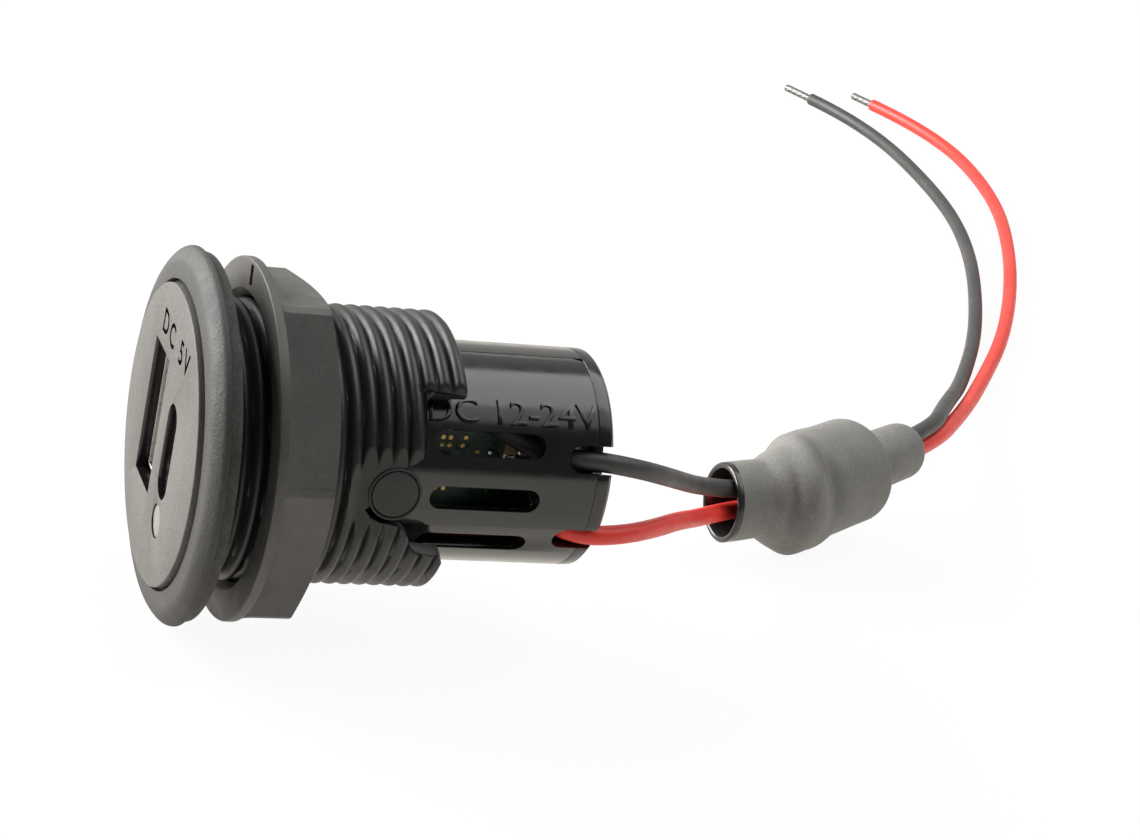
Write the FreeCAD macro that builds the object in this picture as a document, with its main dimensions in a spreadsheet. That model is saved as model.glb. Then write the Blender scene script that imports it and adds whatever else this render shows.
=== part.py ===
"""Panel-mounted USB charging socket with a sleeve, a flange nut and two free leads.

The socket's axis is Y, with the face towards -Y and the leads towards +Y. The origin is on the
axis, on the rear face of the gasket, where the panel seats. All sizes are in millimetres.
"""
import FreeCAD, Part
import math
import os
from types import SimpleNamespace

import Sketcher
from FreeCAD import Placement, Rotation, Vector

SIZES = {
    # Face disc and bezel ring
    "face_r": 14.4,
    "face_thick": 1.2,
    "face_edge": 0.3,
    "face_gap": 0.35,
    "bezel_r": 18.0,
    "bezel_web": 1.0,
    "bezel_side": 0.5,
    "bezel_edge": 0.6,
    "bezel_ring_height": 1.7,
    "bezel_brow_inset": 1.35,
    "bezel_brow_drop": 0.14,
    # Barrel of the sleeve
    "barrel_length": 22.9,
    "barrel_r": 13.5,
    "sleeve_clearance": 0.32,
    # Crown end of the barrel, turned about the axis
    "crown_turn": 5.0,
    "crown_edge_y": 18.75,
    "crown_top_z": 9.2,
    "crown_corner_r": 0.8,
    "crown_shoulder_r": 2.4,
    "crown_bottom_z": 6.4,
    "crown_lip_rise": 0.9,
    "crown_end_slope": 1.6,
    "flat_x": 12.7,
    "flat_start_y": 12.8,
    "tab_y": 16.27,
    "tab_r": 2.6,
    "tab_gap": 0.8,
    "tab_raise": 0.15,
    # Rubber gasket
    "gasket_r": 17.5,
    "gasket_thick": 1.2,
    "gasket_clearance": 0.2,
    "gasket_edge": 0.35,
    # Flange nut
    "nut_gap": 3.45,
    "nut_height": 6.29,
    "nut_flange_r": 17.4,
    "nut_flange_thick": 0.93,
    "nut_flange_edge": 0.2,
    "nut_across_flats": 30.2,
    "nut_corner_r": 17.2,
    "nut_corner_chamfer": 2.05,
    "nut_corner_slope": 0.65,
    "nut_turn": 9.5,
    "nut_clearance": 0.15,
    "nut_lead_in": 0.75,
    "nut_mouth_chamfer": 0.4,
    # Housing tube, vents and lead notches
    "housing_r": 10.78,
    "housing_wall": 0.95,
    "housing_length": 37.0,
    "front_wall": 2.4,
    "vent_pitch": 28.7,
    "vent_width": 2.4,
    "vent_length": 11.1,
    "vent_end_gap": 5.5,
    "notch_angle": 23.5,
    "notch_clearance": 0.75,
    "notch_length": 3.0,
    "cap_thick": 1.6,
    "cap_chamfer": 0.4,
    "cap_spigot": 1.6,
    "cap_spigot_wall": 1.2,
    "cap_clearance": 0.1,
    "cap_notch_floor": 7.8,
    # Circuit board
    "board_x": 0.5,
    "board_thick": 1.6,
    "board_end_gap": 1.8,
    "board_clearance": 0.1,
    "board_front_gap": 0.2,
    # Larger port
    "shell_wall": 0.3,
    "shell_inset": 1.1,
    "usb_a_x": -3.8,
    "usb_a_z": 0.3,
    "usb_a_height": 5.72,
    "usb_a_width": 13.1,
    "usb_a_depth": 13.8,
    "usb_a_gap": 0.19,
    "usb_a_side_gap": 0.4,
    "usb_a_leg_length": 2.0,
    "usb_a_leg_front": 3.0,
    "usb_a_leg_back": 8.6,
    "tongue_clearance": 0.1,
    "tongue_a_thick": 1.84,
    "tongue_a_offset": 1.0,
    "tongue_a_width": 11.1,
    "tongue_a_tip": 1.3,
    "tongue_a_base": 2.3,
    "contact_a_width": 1.0,
    "contact_a_thick": 0.15,
    "contact_a_outer_z": 3.5,
    "contact_a_inner_z": 1.0,
    "contact_a_inset": 1.0,
    # Smaller port
    "usb_c_x": 3.8,
    "usb_c_height": 3.16,
    "usb_c_width": 9.2,
    "usb_c_depth": 7.3,
    "usb_c_gap": 0.2,
    "tongue_c_thick": 0.7,
    "tongue_c_width": 6.7,
    "tongue_c_tip": 1.2,
    "tongue_c_base": 1.3,
    "contact_c_width": 0.25,
    "contact_c_thick": 0.08,
    "contact_c_pitch": 0.5,
    "contact_c_inset": 0.6,
    # Light window
    "lens_r": 1.55,
    "lens_x": 3.8,
    "lens_z": -7.2,
    "lens_clearance": 0.1,
    "lens_recess": 0.05,
    "lens_stem_r": 1.2,
    "lens_stem_end": 5.0,
    "led_gap": 0.2,
    "led_depth": 2.0,
    "led_width": 2.2,
    "led_height": 2.5,
    # Parts on the board
    "inductor_side": 7.0,
    "inductor_height": 3.8,
    "inductor_corner": 1.2,
    "inductor_gap": 2.0,
    "can_r": 3.15,
    "can_length": 9.0,
    "can_gap": 1.5,
    "can_z": 3.4,
    "can_clearance": 0.05,
    "can_groove_depth": 0.35,
    "can_groove_width": 0.8,
    "can_groove_inset": 1.4,
    "chip_length": 5.0,
    "chip_width": 3.9,
    "chip_height": 1.5,
    "chip_standoff": 0.15,
    "chip_lead_width": 0.45,
    "chip_lead_reach": 0.9,
    "chip_lead_thick": 0.5,
    "chip_lead_pitch": 1.27,
    "converter_y": 26.0,
    "converter_z": -4.4,
    "controller_side": 4.0,
    "controller_height": 0.9,
    "controller_y": 14.0,
    "ceramic_length": 2.0,
    "ceramic_width": 1.25,
    "ceramic_height": 0.9,
    # Leads
    "lead_r": 0.975,
    "strand_r": 0.6,
    "red_strand_length": 4.7,
    "black_strand_length": 6.0,
    # Heat-shrink sleeve and the ferrite core in it
    "shrink_wall": 0.7,
    "shrink_mouth_r": 4.35,
    "shrink_neck_end": 5.0,
    "shrink_flare_r": 6.6,
    "shrink_bend_y": 9.0,
    "shrink_bend_angle": 17.4,
    "shrink_flare_back": 3.5,
    "shrink_waist_r": 5.0,
    "shrink_belly_r": 5.95,
    "shrink_belly_end": 11.7,
    "shrink_shoulder_end": 12.9,
    "shrink_tail_r": 3.2,
    "shrink_tail_end": 22.4,
    "ferrite_clearance": 0.12,
    "ferrite_bore_r": 3.0,
    "ferrite_length": 6.0,
}

# Small capacitors on the board's outer side: (y, z) of each middle, the rear ones back from the end
FRONT_CERAMICS = [(24.6, -0.8), (18.6, -2.6), (18.6, 2.6), (9.6, 1.5)]
REAR_CERAMICS = [(3.0, 1.8), (1.1, -0.6)]

# Routes of the leads, from the board to the bare ends
BLACK_ROUTE = [
    (3.2, 22.6, 7.2),
    (5.4, 27.6, 5.3),
    (7.3, 32.7, 3.2),
    (9.4, 37.3, 4.0),
    (8.6, 42.0, 3.0),
    (5.0, 46.5, 0.7),
    (-0.6, 51.0, -2.4),
    (-7.0, 56.0, -5.9),
    (-14.0, 63.5, -9.6),
    (-16.5, 72.0, -10.15),
    (-33.8, 98.0, -10.1),
    (-48.1, 107.5, -13.0),
    (-64.7, 119.2, -17.0),
    (-85.2, 131.7, -17.0),
    (-115.2, 145.4, -17.0),
    (-139.6, 151.7, -17.0),
    (-171.6, 153.3, -17.0),
    (-183.4, 147.8, -17.0),
]
RED_ROUTE = [
    (3.2, 22.6, -6.6),
    (5.0, 27.6, -6.2),
    (7.4, 33.4, -3.5),
    (9.4, 37.3, -4.1),
    (8.2, 42.0, -4.4),
    (4.5, 47.0, -5.4),
    (-1.0, 52.0, -7.2),
    (-7.5, 57.3, -10.0),
    (-14.5, 64.5, -12.3),
    (-16.9, 72.4, -12.35),
    (-34.2, 98.6, -12.4),
    (-48.6, 110.3, -14.6),
    (-63.5, 121.1, -17.0),
    (-84.5, 136.0, -17.0),
    (-113.6, 151.6, -17.0),
    (-141.8, 162.7, -17.0),
    (-170.5, 166.0, -17.0),
    (-183.8, 159.7, -17.0),
]
RUN_SHARE = 0.45

# Heat-shrink sleeve: middle of its open mouth, and the way its neck points from there
SHRINK_MOUTH = Vector(-14.2, 63.35, -11.25)
SHRINK_WAY = Vector(-0.275, 0.9614, 0.0)


class Size:
    """A length or an angle: its value now, and the expression that reads it from the sheet."""

    def __init__(self, value, text):
        self.value = value
        self.text = text

    def __add__(self, other):
        other = as_size(other)
        return Size(self.value + other.value, f"({self.text} + {other.text})")

    def __sub__(self, other):
        other = as_size(other)
        return Size(self.value - other.value, f"({self.text} - {other.text})")

    def __mul__(self, other):
        other = as_size(other)
        return Size(self.value * other.value, f"({self.text} * {other.text})")

    def __truediv__(self, other):
        other = as_size(other)
        return Size(self.value / other.value, f"({self.text} / {other.text})")

    def __neg__(self):
        return Size(-self.value, f"(0 - {self.text})")


def as_size(number):
    """A plain number as a Size, or the Size itself."""
    if isinstance(number, Size):
        return number
    return Size(float(number), repr(float(number)))


def square_root(size):
    """Square root of a Size."""
    return Size(math.sqrt(size.value), f"sqrt({size.text})")


def cosine(angle):
    """Cosine of an angle in degrees."""
    return Size(math.cos(math.radians(angle.value)), f"cos({angle.text} * 1 deg)")


def sine(angle):
    """Sine of an angle in degrees."""
    return Size(math.sin(math.radians(angle.value)), f"sin({angle.text} * 1 deg)")


doc = FreeCAD.newDocument("usb_charging_socket")
sheet = doc.addObject("Spreadsheet::Sheet", "Sizes")
for row, (alias, value) in enumerate(SIZES.items(), 1):
    sheet.set(f"A{row}", alias)
    sheet.set(f"B{row}", str(value))
    sheet.setAlias(f"B{row}", alias)
doc.recompute()
dim = SimpleNamespace(**{alias: Size(float(sheet.get(alias)), f"Sizes.{alias}") for alias in SIZES})
ZERO = as_size(0)
nodes = []


def node(kind, label):
    """A new object that is one piece of the socket."""
    piece = doc.addObject(kind, label)
    piece.Label = label
    nodes.append(piece)
    return piece


def origin_item(body, role):
    """One of a body's own origin planes or axes."""
    return next(item for item in body.Origin.OriginFeatures if item.Role == role)


def sketch_on(body, role, name, offset=None, turn=None):
    """A sketch on one of the body's planes, lifted by offset and turned about its own first axis."""
    sketch = body.newObject("Sketcher::SketchObject", name)
    sketch.AttachmentSupport = (origin_item(body, role), "")
    sketch.MapMode = "FlatFace"
    if turn is not None:
        sketch.AttachmentOffset = Placement(Vector(), Rotation(Vector(1, 0, 0), turn.value))
        sketch.setExpression("AttachmentOffset.Rotation.Angle", turn.text)
    if offset is not None:
        sketch.AttachmentOffset = Placement(Vector(0, 0, offset.value), Rotation())
        sketch.setExpression("AttachmentOffset.Base.z", offset.text)
    return sketch


def add_bound(sketch, constraints):
    """Add (constraint, expression) pairs to a sketch in one go."""
    first = sketch.ConstraintCount
    sketch.addConstraint([constraint for constraint, _ in constraints])
    for index, (_, text) in enumerate(constraints, first):
        if text is not None:
            sketch.setExpression(f"Constraints[{index}]", text)


def lesser_arc(start, end, radius, side):
    """Arc below a half turn from start to end, bulging to the left (side 1) or right (side -1)."""
    chord = end - start
    left = Vector(-chord.y, chord.x, 0).normalize()
    reach = math.sqrt(radius ** 2 - (chord.Length / 2) ** 2)
    centre = (start + end) * 0.5 - left * side * reach
    from_point, to_point = (end, start) if side > 0 else (start, end)
    first = math.atan2(from_point.y - centre.y, from_point.x - centre.x)
    last = math.atan2(to_point.y - centre.y, to_point.x - centre.x)
    return Part.ArcOfCircle(Part.Circle(centre, Vector(0, 0, 1), radius), first, last)


def outline(sketch, corners):
    """Closed outline with every corner bound to sizes.

    A corner is (u, v), or (u, v, radius, side) where an arc leads from it to the next corner.
    """
    corners = [tuple(as_size(part) for part in corner[:2]) + tuple(corner[2:]) for corner in corners]
    points = [Vector(corner[0].value, corner[1].value, 0) for corner in corners]
    first = sketch.GeometryCount
    geometry = []
    ends = []
    for corner, here, there in zip(corners, points, points[1:] + points[:1]):
        if len(corner) == 4:
            geometry.append(lesser_arc(here, there, corner[2].value, corner[3]))
            ends.append((2, 1) if corner[3] > 0 else (1, 2))
        else:
            geometry.append(Part.LineSegment(here, there))
            ends.append((1, 2))
    sketch.addGeometry(geometry, False)
    bound = []
    for k, corner in enumerate(corners):
        after = (k + 1) % len(corners)
        joined = Sketcher.Constraint("Coincident", first + k, ends[k][1], first + after, ends[after][0])
        bound.append((joined, None))
        for kind, coordinate in (("DistanceX", corner[0]), ("DistanceY", corner[1])):
            placed = Sketcher.Constraint(kind, -1, 1, first + k, ends[k][0], coordinate.value)
            bound.append((placed, coordinate.text))
        if len(corner) == 4:
            bound.append((Sketcher.Constraint("Radius", first + k, corner[2].value), corner[2].text))
    add_bound(sketch, bound)


def rectangle(sketch, low_u, low_v, high_u, high_v):
    """Rectangle between two opposite corners."""
    outline(sketch, [(low_u, low_v), (high_u, low_v), (high_u, high_v), (low_u, high_v)])


def circle(sketch, u, v, radius):
    """Circle with a bound middle and radius."""
    index = sketch.GeometryCount
    sketch.addGeometry(Part.Circle(Vector(u.value, v.value, 0), Vector(0, 0, 1), radius.value), False)
    add_bound(sketch, [
        (Sketcher.Constraint("DistanceX", -1, 1, index, 3, u.value), u.text),
        (Sketcher.Constraint("DistanceY", -1, 1, index, 3, v.value), v.text),
        (Sketcher.Constraint("Radius", index, radius.value), radius.text),
    ])


def round_slot(sketch, first, last, radius):
    """Slot with round ends, about two middles (u, v) that lie in line along u or along v."""
    index = sketch.GeometryCount
    start = Vector(first[0].value, first[1].value, 0)
    end = Vector(last[0].value, last[1].value, 0)
    way = math.atan2(end.y - start.y, end.x - start.x)
    side = Vector(-math.sin(way), math.cos(way), 0) * radius.value
    quarter = math.pi / 2
    upright = Vector(0, 0, 1)
    sketch.addGeometry([
        Part.ArcOfCircle(Part.Circle(start, upright, radius.value), way + quarter, way + 3 * quarter),
        Part.LineSegment(start - side, end - side),
        Part.ArcOfCircle(Part.Circle(end, upright, radius.value), way - quarter, way + quarter),
        Part.LineSegment(end + side, start + side),
    ], False)
    bound = []
    for k in range(4):
        after = (k + 1) % 4
        bound.append((Sketcher.Constraint("Tangent", index + k, 2, index + after, 1), None))
    for arc, (u, v) in ((index, first), (index + 2, last)):
        bound.append((Sketcher.Constraint("DistanceX", -1, 1, arc, 3, u.value), u.text))
        bound.append((Sketcher.Constraint("DistanceY", -1, 1, arc, 3, v.value), v.text))
        bound.append((Sketcher.Constraint("Radius", arc, radius.value), radius.text))
    add_bound(sketch, bound)


def bent_sketch(body, name, along, angle):
    """A sketch in the body's XY plane, moved along the Y axis and turned in the plane."""
    sketch = sketch_on(body, "XY_Plane", name)
    sketch.AttachmentOffset = Placement(Vector(0, along.value, 0), Rotation(Vector(0, 0, 1), angle.value))
    sketch.setExpression("AttachmentOffset.Base.y", along.text)
    sketch.setExpression("AttachmentOffset.Rotation.Angle", angle.text)
    return sketch


def turned(body, corners, name="Turned", sketch=None, kind="PartDesign::Revolution"):
    """Material added, or cut away, all round a sketch's upright axis, from corners (radius, y).

    The sketch lies in the body's XY plane, with the body's Y axis upright, unless one is given.
    """
    if sketch is None:
        sketch = sketch_on(body, "XY_Plane", f"{name}Profile")
    outline(sketch, corners)
    feature = body.newObject(kind, name)
    feature.Profile = sketch
    feature.ReferenceAxis = (sketch, ["V_Axis"])
    feature.Angle = 360
    return feature


def pad(body, sketch, length, name, reverse=False):
    """Material added along the sketch's normal, or against it."""
    feature = body.newObject("PartDesign::Pad", name)
    feature.Profile = sketch
    feature.Length = length.value
    feature.setExpression("Length", length.text)
    feature.Reversed = reverse
    return feature


def cut_through(body, sketch, name, along_normal):
    """Material removed from the sketch outwards, along its normal or against it."""
    feature = body.newObject("PartDesign::Pocket", name)
    feature.Profile = sketch
    feature.Type = "ThroughAll"
    feature.Reversed = along_normal
    return feature


def block(kind_of_object, label, low, high):
    """Box between two corners of sizes; kind_of_object makes the document object."""
    box = kind_of_object("Part::Box", label)
    for name, lower, upper in zip(("Length", "Width", "Height"), low, high):
        extent = upper - lower
        setattr(box, name, extent.value)
        box.setExpression(name, extent.text)
    box.Placement = Placement(Vector(*(lower.value for lower in low)), Rotation())
    for axis, lower in zip("xyz", low):
        box.setExpression(f"Placement.Base.{axis}", lower.text)
    return box


def group(label, members):
    """Several separate solids that are one node."""
    together = node("Part::Compound", label)
    together.Links = members
    return together


# Shared places along the axis and round it
seat_y = ZERO
bezel_back = seat_y - dim.gasket_thick
face_back = bezel_back - dim.bezel_web
face_front = face_back - dim.face_thick
front_wall_back = face_front + dim.front_wall
recess_r = dim.face_r + dim.face_gap
bore_r = dim.housing_r + dim.sleeve_clearance
housing_bore_r = dim.housing_r - dim.housing_wall
shell_front = face_front + dim.shell_inset
usb_a_back = shell_front + dim.usb_a_depth
spigot_front = dim.housing_length - dim.cap_spigot
board_back = dim.board_x + dim.board_thick
board_end = spigot_front - dim.board_end_gap
notch_width = dim.lead_r * 2 + dim.notch_clearance


def make_mounting_sleeve():
    """Bezel ring and barrel, one moulding, with a flat, a stepped crown end and a round tab."""
    body = node("PartDesign::Body", "mounting_sleeve")
    ring_front = bezel_back - dim.bezel_ring_height
    side_front = bezel_back - dim.bezel_side
    turned(body, [
        (bore_r, face_back),
        (recess_r, face_back),
        (recess_r, ring_front),
        (dim.bezel_r - dim.bezel_brow_inset, ring_front + dim.bezel_brow_drop),
        (dim.bezel_r - dim.bezel_edge, side_front - dim.bezel_edge),
        (dim.bezel_r, side_front),
        (dim.bezel_r, bezel_back),
        (dim.barrel_r, bezel_back),
        (dim.barrel_r, dim.barrel_length),
        (bore_r, dim.barrel_length),
    ])

    past_end = dim.barrel_length + dim.crown_lip_rise
    flat = sketch_on(body, "YZ_Plane", "FlatOutline", offset=dim.flat_x)
    rectangle(flat, dim.flat_start_y, -dim.barrel_r, past_end, dim.barrel_r)
    cut_through(body, flat, "Flat", along_normal=True)

    crescent_r = dim.tab_r + dim.tab_gap
    crescent_start = as_size(217)
    crescent_end = as_size(296)
    tab_inner_r = dim.tab_r * 0.9
    crown = sketch_on(body, "YZ_Plane", "CrownOutline")
    outline(crown, [
        (past_end, dim.crown_top_z),
        (dim.crown_edge_y + dim.crown_corner_r, dim.crown_top_z, dim.crown_corner_r, -1),
        (dim.crown_edge_y, dim.crown_top_z - dim.crown_corner_r),
        (dim.crown_edge_y, dim.tab_r + dim.crown_shoulder_r * 0.8, dim.crown_shoulder_r, -1),
        (dim.tab_y + dim.tab_r * 0.2, dim.tab_r * 0.94),
        (dim.tab_y + tab_inner_r * cosine(crescent_start), tab_inner_r * sine(crescent_start)),
        (dim.tab_y + crescent_r * cosine(crescent_start), crescent_r * sine(crescent_start),
         crescent_r, -1),
        (dim.tab_y + crescent_r * cosine(crescent_end), crescent_r * sine(crescent_end)),
        (dim.crown_edge_y + dim.crown_lip_rise * 0.5, -dim.crown_bottom_z),
        (dim.barrel_length - dim.crown_lip_rise, -dim.crown_bottom_z),
        (past_end, -(dim.crown_bottom_z + dim.crown_end_slope)),
    ])
    cut_through(body, crown, "Crown", along_normal=True)

    tab = sketch_on(body, "YZ_Plane", "TabOutline", offset=bore_r)
    circle(tab, dim.tab_y, ZERO, dim.tab_r)
    pad(body, tab, dim.flat_x + dim.tab_raise - bore_r, "Tab")

    far_side = sketch_on(body, "YZ_Plane", "FarCrownOutline")
    rectangle(far_side, dim.crown_edge_y, -dim.crown_bottom_z, past_end, dim.crown_top_z)
    cut_through(body, far_side, "FarCrown", along_normal=False)
    body.Placement = Placement(Vector(), Rotation(Vector(0, -1, 0), dim.crown_turn.value))
    body.setExpression("Placement.Rotation.Angle", dim.crown_turn.text)


def make_panel_gasket():
    """Rubber ring between the bezel and the panel."""
    body = node("PartDesign::Body", "panel_gasket")
    inner_r = dim.barrel_r + dim.gasket_clearance
    turned(body, [
        (inner_r, bezel_back),
        (dim.gasket_r, bezel_back),
        (dim.gasket_r, seat_y - dim.gasket_edge),
        (dim.gasket_r - dim.gasket_edge, seat_y),
        (inner_r, seat_y),
    ])


def make_flange_nut():
    """Hexagon nut with a round flange towards the panel."""
    body = node("PartDesign::Body", "flange_nut")
    front = seat_y + dim.nut_gap
    rear = front + dim.nut_height
    flange_back = front + dim.nut_flange_thick
    nut_bore_r = dim.barrel_r + dim.nut_clearance
    turned(body, [
        (nut_bore_r + dim.nut_lead_in, front),
        (dim.nut_flange_r - dim.nut_flange_edge, front),
        (dim.nut_flange_r, front + dim.nut_flange_edge),
        (dim.nut_flange_r, flange_back),
        (dim.nut_corner_r, flange_back),
        (dim.nut_corner_r, rear - dim.nut_corner_slope),
        (dim.nut_corner_r - dim.nut_corner_chamfer, rear),
        (nut_bore_r + dim.nut_mouth_chamfer, rear),
        (nut_bore_r, rear - dim.nut_mouth_chamfer),
        (nut_bore_r, front + dim.nut_lead_in),
    ])
    spanner_flats = sketch_on(body, "XZ_Plane", "HexagonOutline", offset=-flange_back)
    point_r = dim.nut_across_flats / math.sqrt(3)
    angles = [dim.nut_turn + 60 * k for k in range(6)]
    outline(spanner_flats, [(point_r * cosine(angle), point_r * sine(angle)) for angle in angles])
    circle(spanner_flats, ZERO, ZERO, point_r + dim.nut_flange_thick)
    cut_through(body, spanner_flats, "Hexagon", along_normal=False)


def make_insert_housing():
    """Face disc with the port openings, and the vented tube behind it, one moulding."""
    body = node("PartDesign::Body", "insert_housing")
    turned(body, [
        (ZERO, face_front),
        (dim.face_r - dim.face_edge, face_front),
        (dim.face_r, face_front + dim.face_edge),
        (dim.face_r, face_back),
        (dim.housing_r, face_back),
        (dim.housing_r, dim.housing_length),
        (housing_bore_r, dim.housing_length),
        (housing_bore_r, front_wall_back),
        (ZERO, front_wall_back),
    ])
    ports = sketch_on(body, "XZ_Plane", "PortOutlines", offset=-front_wall_back)
    half_x = dim.usb_a_height / 2 + dim.usb_a_gap
    half_z = dim.usb_a_width / 2 + dim.usb_a_side_gap
    rectangle(ports, dim.usb_a_x - half_x, dim.usb_a_z - half_z,
              dim.usb_a_x + half_x, dim.usb_a_z + half_z)
    reach = (dim.usb_c_width - dim.usb_c_height) / 2
    round_slot(ports, (dim.usb_c_x, -reach), (dim.usb_c_x, reach), dim.usb_c_height / 2 + dim.usb_c_gap)
    circle(ports, dim.lens_x, dim.lens_z, dim.lens_r + dim.lens_clearance)
    cut_through(body, ports, "Ports", along_normal=True)

    end_r = dim.vent_width / 2
    vent_end = dim.housing_length - dim.vent_end_gap
    vent_start = vent_end - dim.vent_length
    for side in (0, 180):
        for step in (-1, 0, 1):
            angle = dim.vent_pitch * step + side
            vent = sketch_on(body, "YZ_Plane", "VentOutline", turn=angle)
            round_slot(vent, (vent_start + end_r, ZERO), (vent_end - end_r, ZERO), end_r)
            cut_through(body, vent, "Vent", along_normal=True)

    notch_r = notch_width / 2
    notch_start = dim.housing_length - dim.notch_length
    for side in (-1, 1):
        notch = sketch_on(body, "YZ_Plane", "NotchOutline", turn=dim.notch_angle * side)
        past_end = dim.housing_length + notch_width
        round_slot(notch, (notch_start + notch_r, ZERO), (past_end, ZERO), notch_r)
        cut_through(body, notch, "Notch", along_normal=True)


def make_rear_cap():
    """End cap with a spigot in the tube and a notch for each lead."""
    body = node("PartDesign::Body", "rear_cap")
    rear = dim.housing_length + dim.cap_thick
    spigot_r = housing_bore_r - dim.cap_clearance
    turned(body, [
        (ZERO, dim.housing_length),
        (spigot_r - dim.cap_spigot_wall, dim.housing_length),
        (spigot_r - dim.cap_spigot_wall, spigot_front),
        (spigot_r, spigot_front),
        (spigot_r, dim.housing_length),
        (dim.housing_r, dim.housing_length),
        (dim.housing_r, rear - dim.cap_chamfer),
        (dim.housing_r - dim.cap_chamfer, rear),
        (ZERO, rear),
    ])
    half = notch_width / 2
    outer = dim.housing_r + notch_width
    for side in (-1, 1):
        along = cosine(dim.notch_angle * side)
        across = sine(dim.notch_angle * side)
        notch = sketch_on(body, "XZ_Plane", "NotchOutline", offset=-spigot_front)
        places = [(dim.cap_notch_floor, -half), (outer, -half), (outer, half), (dim.cap_notch_floor, half)]
        outline(notch, [(r * along - v * across, r * across + v * along) for r, v in places])
        cut_through(body, notch, "Notch", along_normal=False)


def make_main_board():
    """Circuit board, edge to edge in the tube."""
    half_width = square_root(housing_bore_r * housing_bore_r - board_back * board_back) - dim.board_clearance
    front = front_wall_back + dim.board_front_gap
    block(node, "main_board", (dim.board_x, front, -half_width), (board_back, board_end, half_width))


def make_usb_a():
    """Larger port: folded shell with legs, tongue with its rear block, and four contacts."""
    half_x = dim.usb_a_height / 2
    half_z = dim.usb_a_width / 2
    shell = node("PartDesign::Body", "usb_a_shell")
    walls = sketch_on(shell, "XZ_Plane", "WallOutlines", offset=-shell_front)
    for inset in (ZERO, dim.shell_wall):
        rectangle(walls, dim.usb_a_x - half_x + inset, dim.usb_a_z - half_z + inset,
                  dim.usb_a_x + half_x - inset, dim.usb_a_z + half_z - inset)
    pad(shell, walls, dim.usb_a_depth, "Walls", reverse=True)
    legs = sketch_on(shell, "YZ_Plane", "LegOutlines", offset=dim.usb_a_x)
    for side in (-1, 1):
        outer = dim.usb_a_z + half_z * side
        inner = dim.usb_a_z + (half_z - dim.shell_wall) * side
        for start in (dim.usb_a_leg_front, dim.usb_a_leg_back):
            rectangle(legs, start, inner, start + dim.usb_a_leg_length, outer)
    pad(shell, legs, dim.board_x - dim.usb_a_x, "Legs")

    fit_x = half_x - dim.shell_wall - dim.tongue_clearance
    fit_z = half_z - dim.shell_wall - dim.tongue_clearance
    tongue_low = dim.usb_a_x - half_x + dim.shell_wall + dim.tongue_a_offset
    tongue_high = tongue_low + dim.tongue_a_thick
    tip = shell_front + dim.tongue_a_tip
    base_front = usb_a_back - dim.tongue_a_base
    tongue = node("PartDesign::Body", "usb_a_tongue")
    base = sketch_on(tongue, "XZ_Plane", "BaseOutline", offset=-base_front)
    rectangle(base, dim.usb_a_x - fit_x, dim.usb_a_z - fit_z, dim.usb_a_x + fit_x, dim.usb_a_z + fit_z)
    pad(tongue, base, dim.tongue_a_base, "Base", reverse=True)
    blade = sketch_on(tongue, "XZ_Plane", "BladeOutline", offset=-base_front)
    rectangle(blade, tongue_low, dim.usb_a_z - dim.tongue_a_width / 2,
              tongue_high, dim.usb_a_z + dim.tongue_a_width / 2)
    pad(tongue, blade, base_front - tip, "Blade")

    contacts = []
    for place in (dim.contact_a_outer_z, dim.contact_a_inner_z):
        for side in (-1, 1):
            middle = dim.usb_a_z + place * side
            low = (tongue_high, tip + dim.contact_a_inset, middle - dim.contact_a_width / 2)
            high = (tongue_high + dim.contact_a_thick, base_front, middle + dim.contact_a_width / 2)
            contacts.append(block(doc.addObject, "ContactStrip", low, high))
    group("usb_a_contacts", contacts)


def make_usb_c():
    """Smaller port: round-ended shell, thin tongue with its rear block, and two rows of contacts."""
    reach = (dim.usb_c_width - dim.usb_c_height) / 2
    low_end = (dim.usb_c_x, -reach)
    high_end = (dim.usb_c_x, reach)
    shell_back = shell_front + dim.usb_c_depth
    shell = node("PartDesign::Body", "usb_c_shell")
    walls = sketch_on(shell, "XZ_Plane", "WallOutlines", offset=-shell_front)
    for inset in (ZERO, dim.shell_wall):
        round_slot(walls, low_end, high_end, dim.usb_c_height / 2 - inset)
    pad(shell, walls, dim.usb_c_depth, "Walls", reverse=True)

    tongue = node("PartDesign::Body", "usb_c_tongue")
    base_front = shell_back - dim.tongue_c_base
    base = sketch_on(tongue, "XZ_Plane", "BaseOutline", offset=-base_front)
    round_slot(base, low_end, high_end, dim.usb_c_height / 2 - dim.shell_wall - dim.tongue_clearance)
    pad(tongue, base, dim.tongue_c_base, "Base", reverse=True)
    tip = shell_front + dim.tongue_c_tip
    half_thick = dim.tongue_c_thick / 2
    blade = sketch_on(tongue, "XZ_Plane", "BladeOutline", offset=-base_front)
    rectangle(blade, dim.usb_c_x - half_thick, -dim.tongue_c_width / 2,
              dim.usb_c_x + half_thick, dim.tongue_c_width / 2)
    pad(tongue, blade, base_front - tip, "Blade")

    contacts = []
    per_row = int((dim.tongue_c_width.value - dim.contact_c_width.value) / dim.contact_c_pitch.value)
    for side in (-1, 1):
        for k in range(per_row):
            middle = dim.contact_c_pitch * (k - (per_row - 1) / 2)
            face = dim.usb_c_x + half_thick * side
            outer = face + dim.contact_c_thick * side
            low_x, high_x = (face, outer) if side > 0 else (outer, face)
            low = (low_x, tip + dim.contact_c_inset, middle - dim.contact_c_width / 2)
            high = (high_x, base_front, middle + dim.contact_c_width / 2)
            contacts.append(block(doc.addObject, "ContactStrip", low, high))
    group("usb_c_contacts", contacts)


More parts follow.
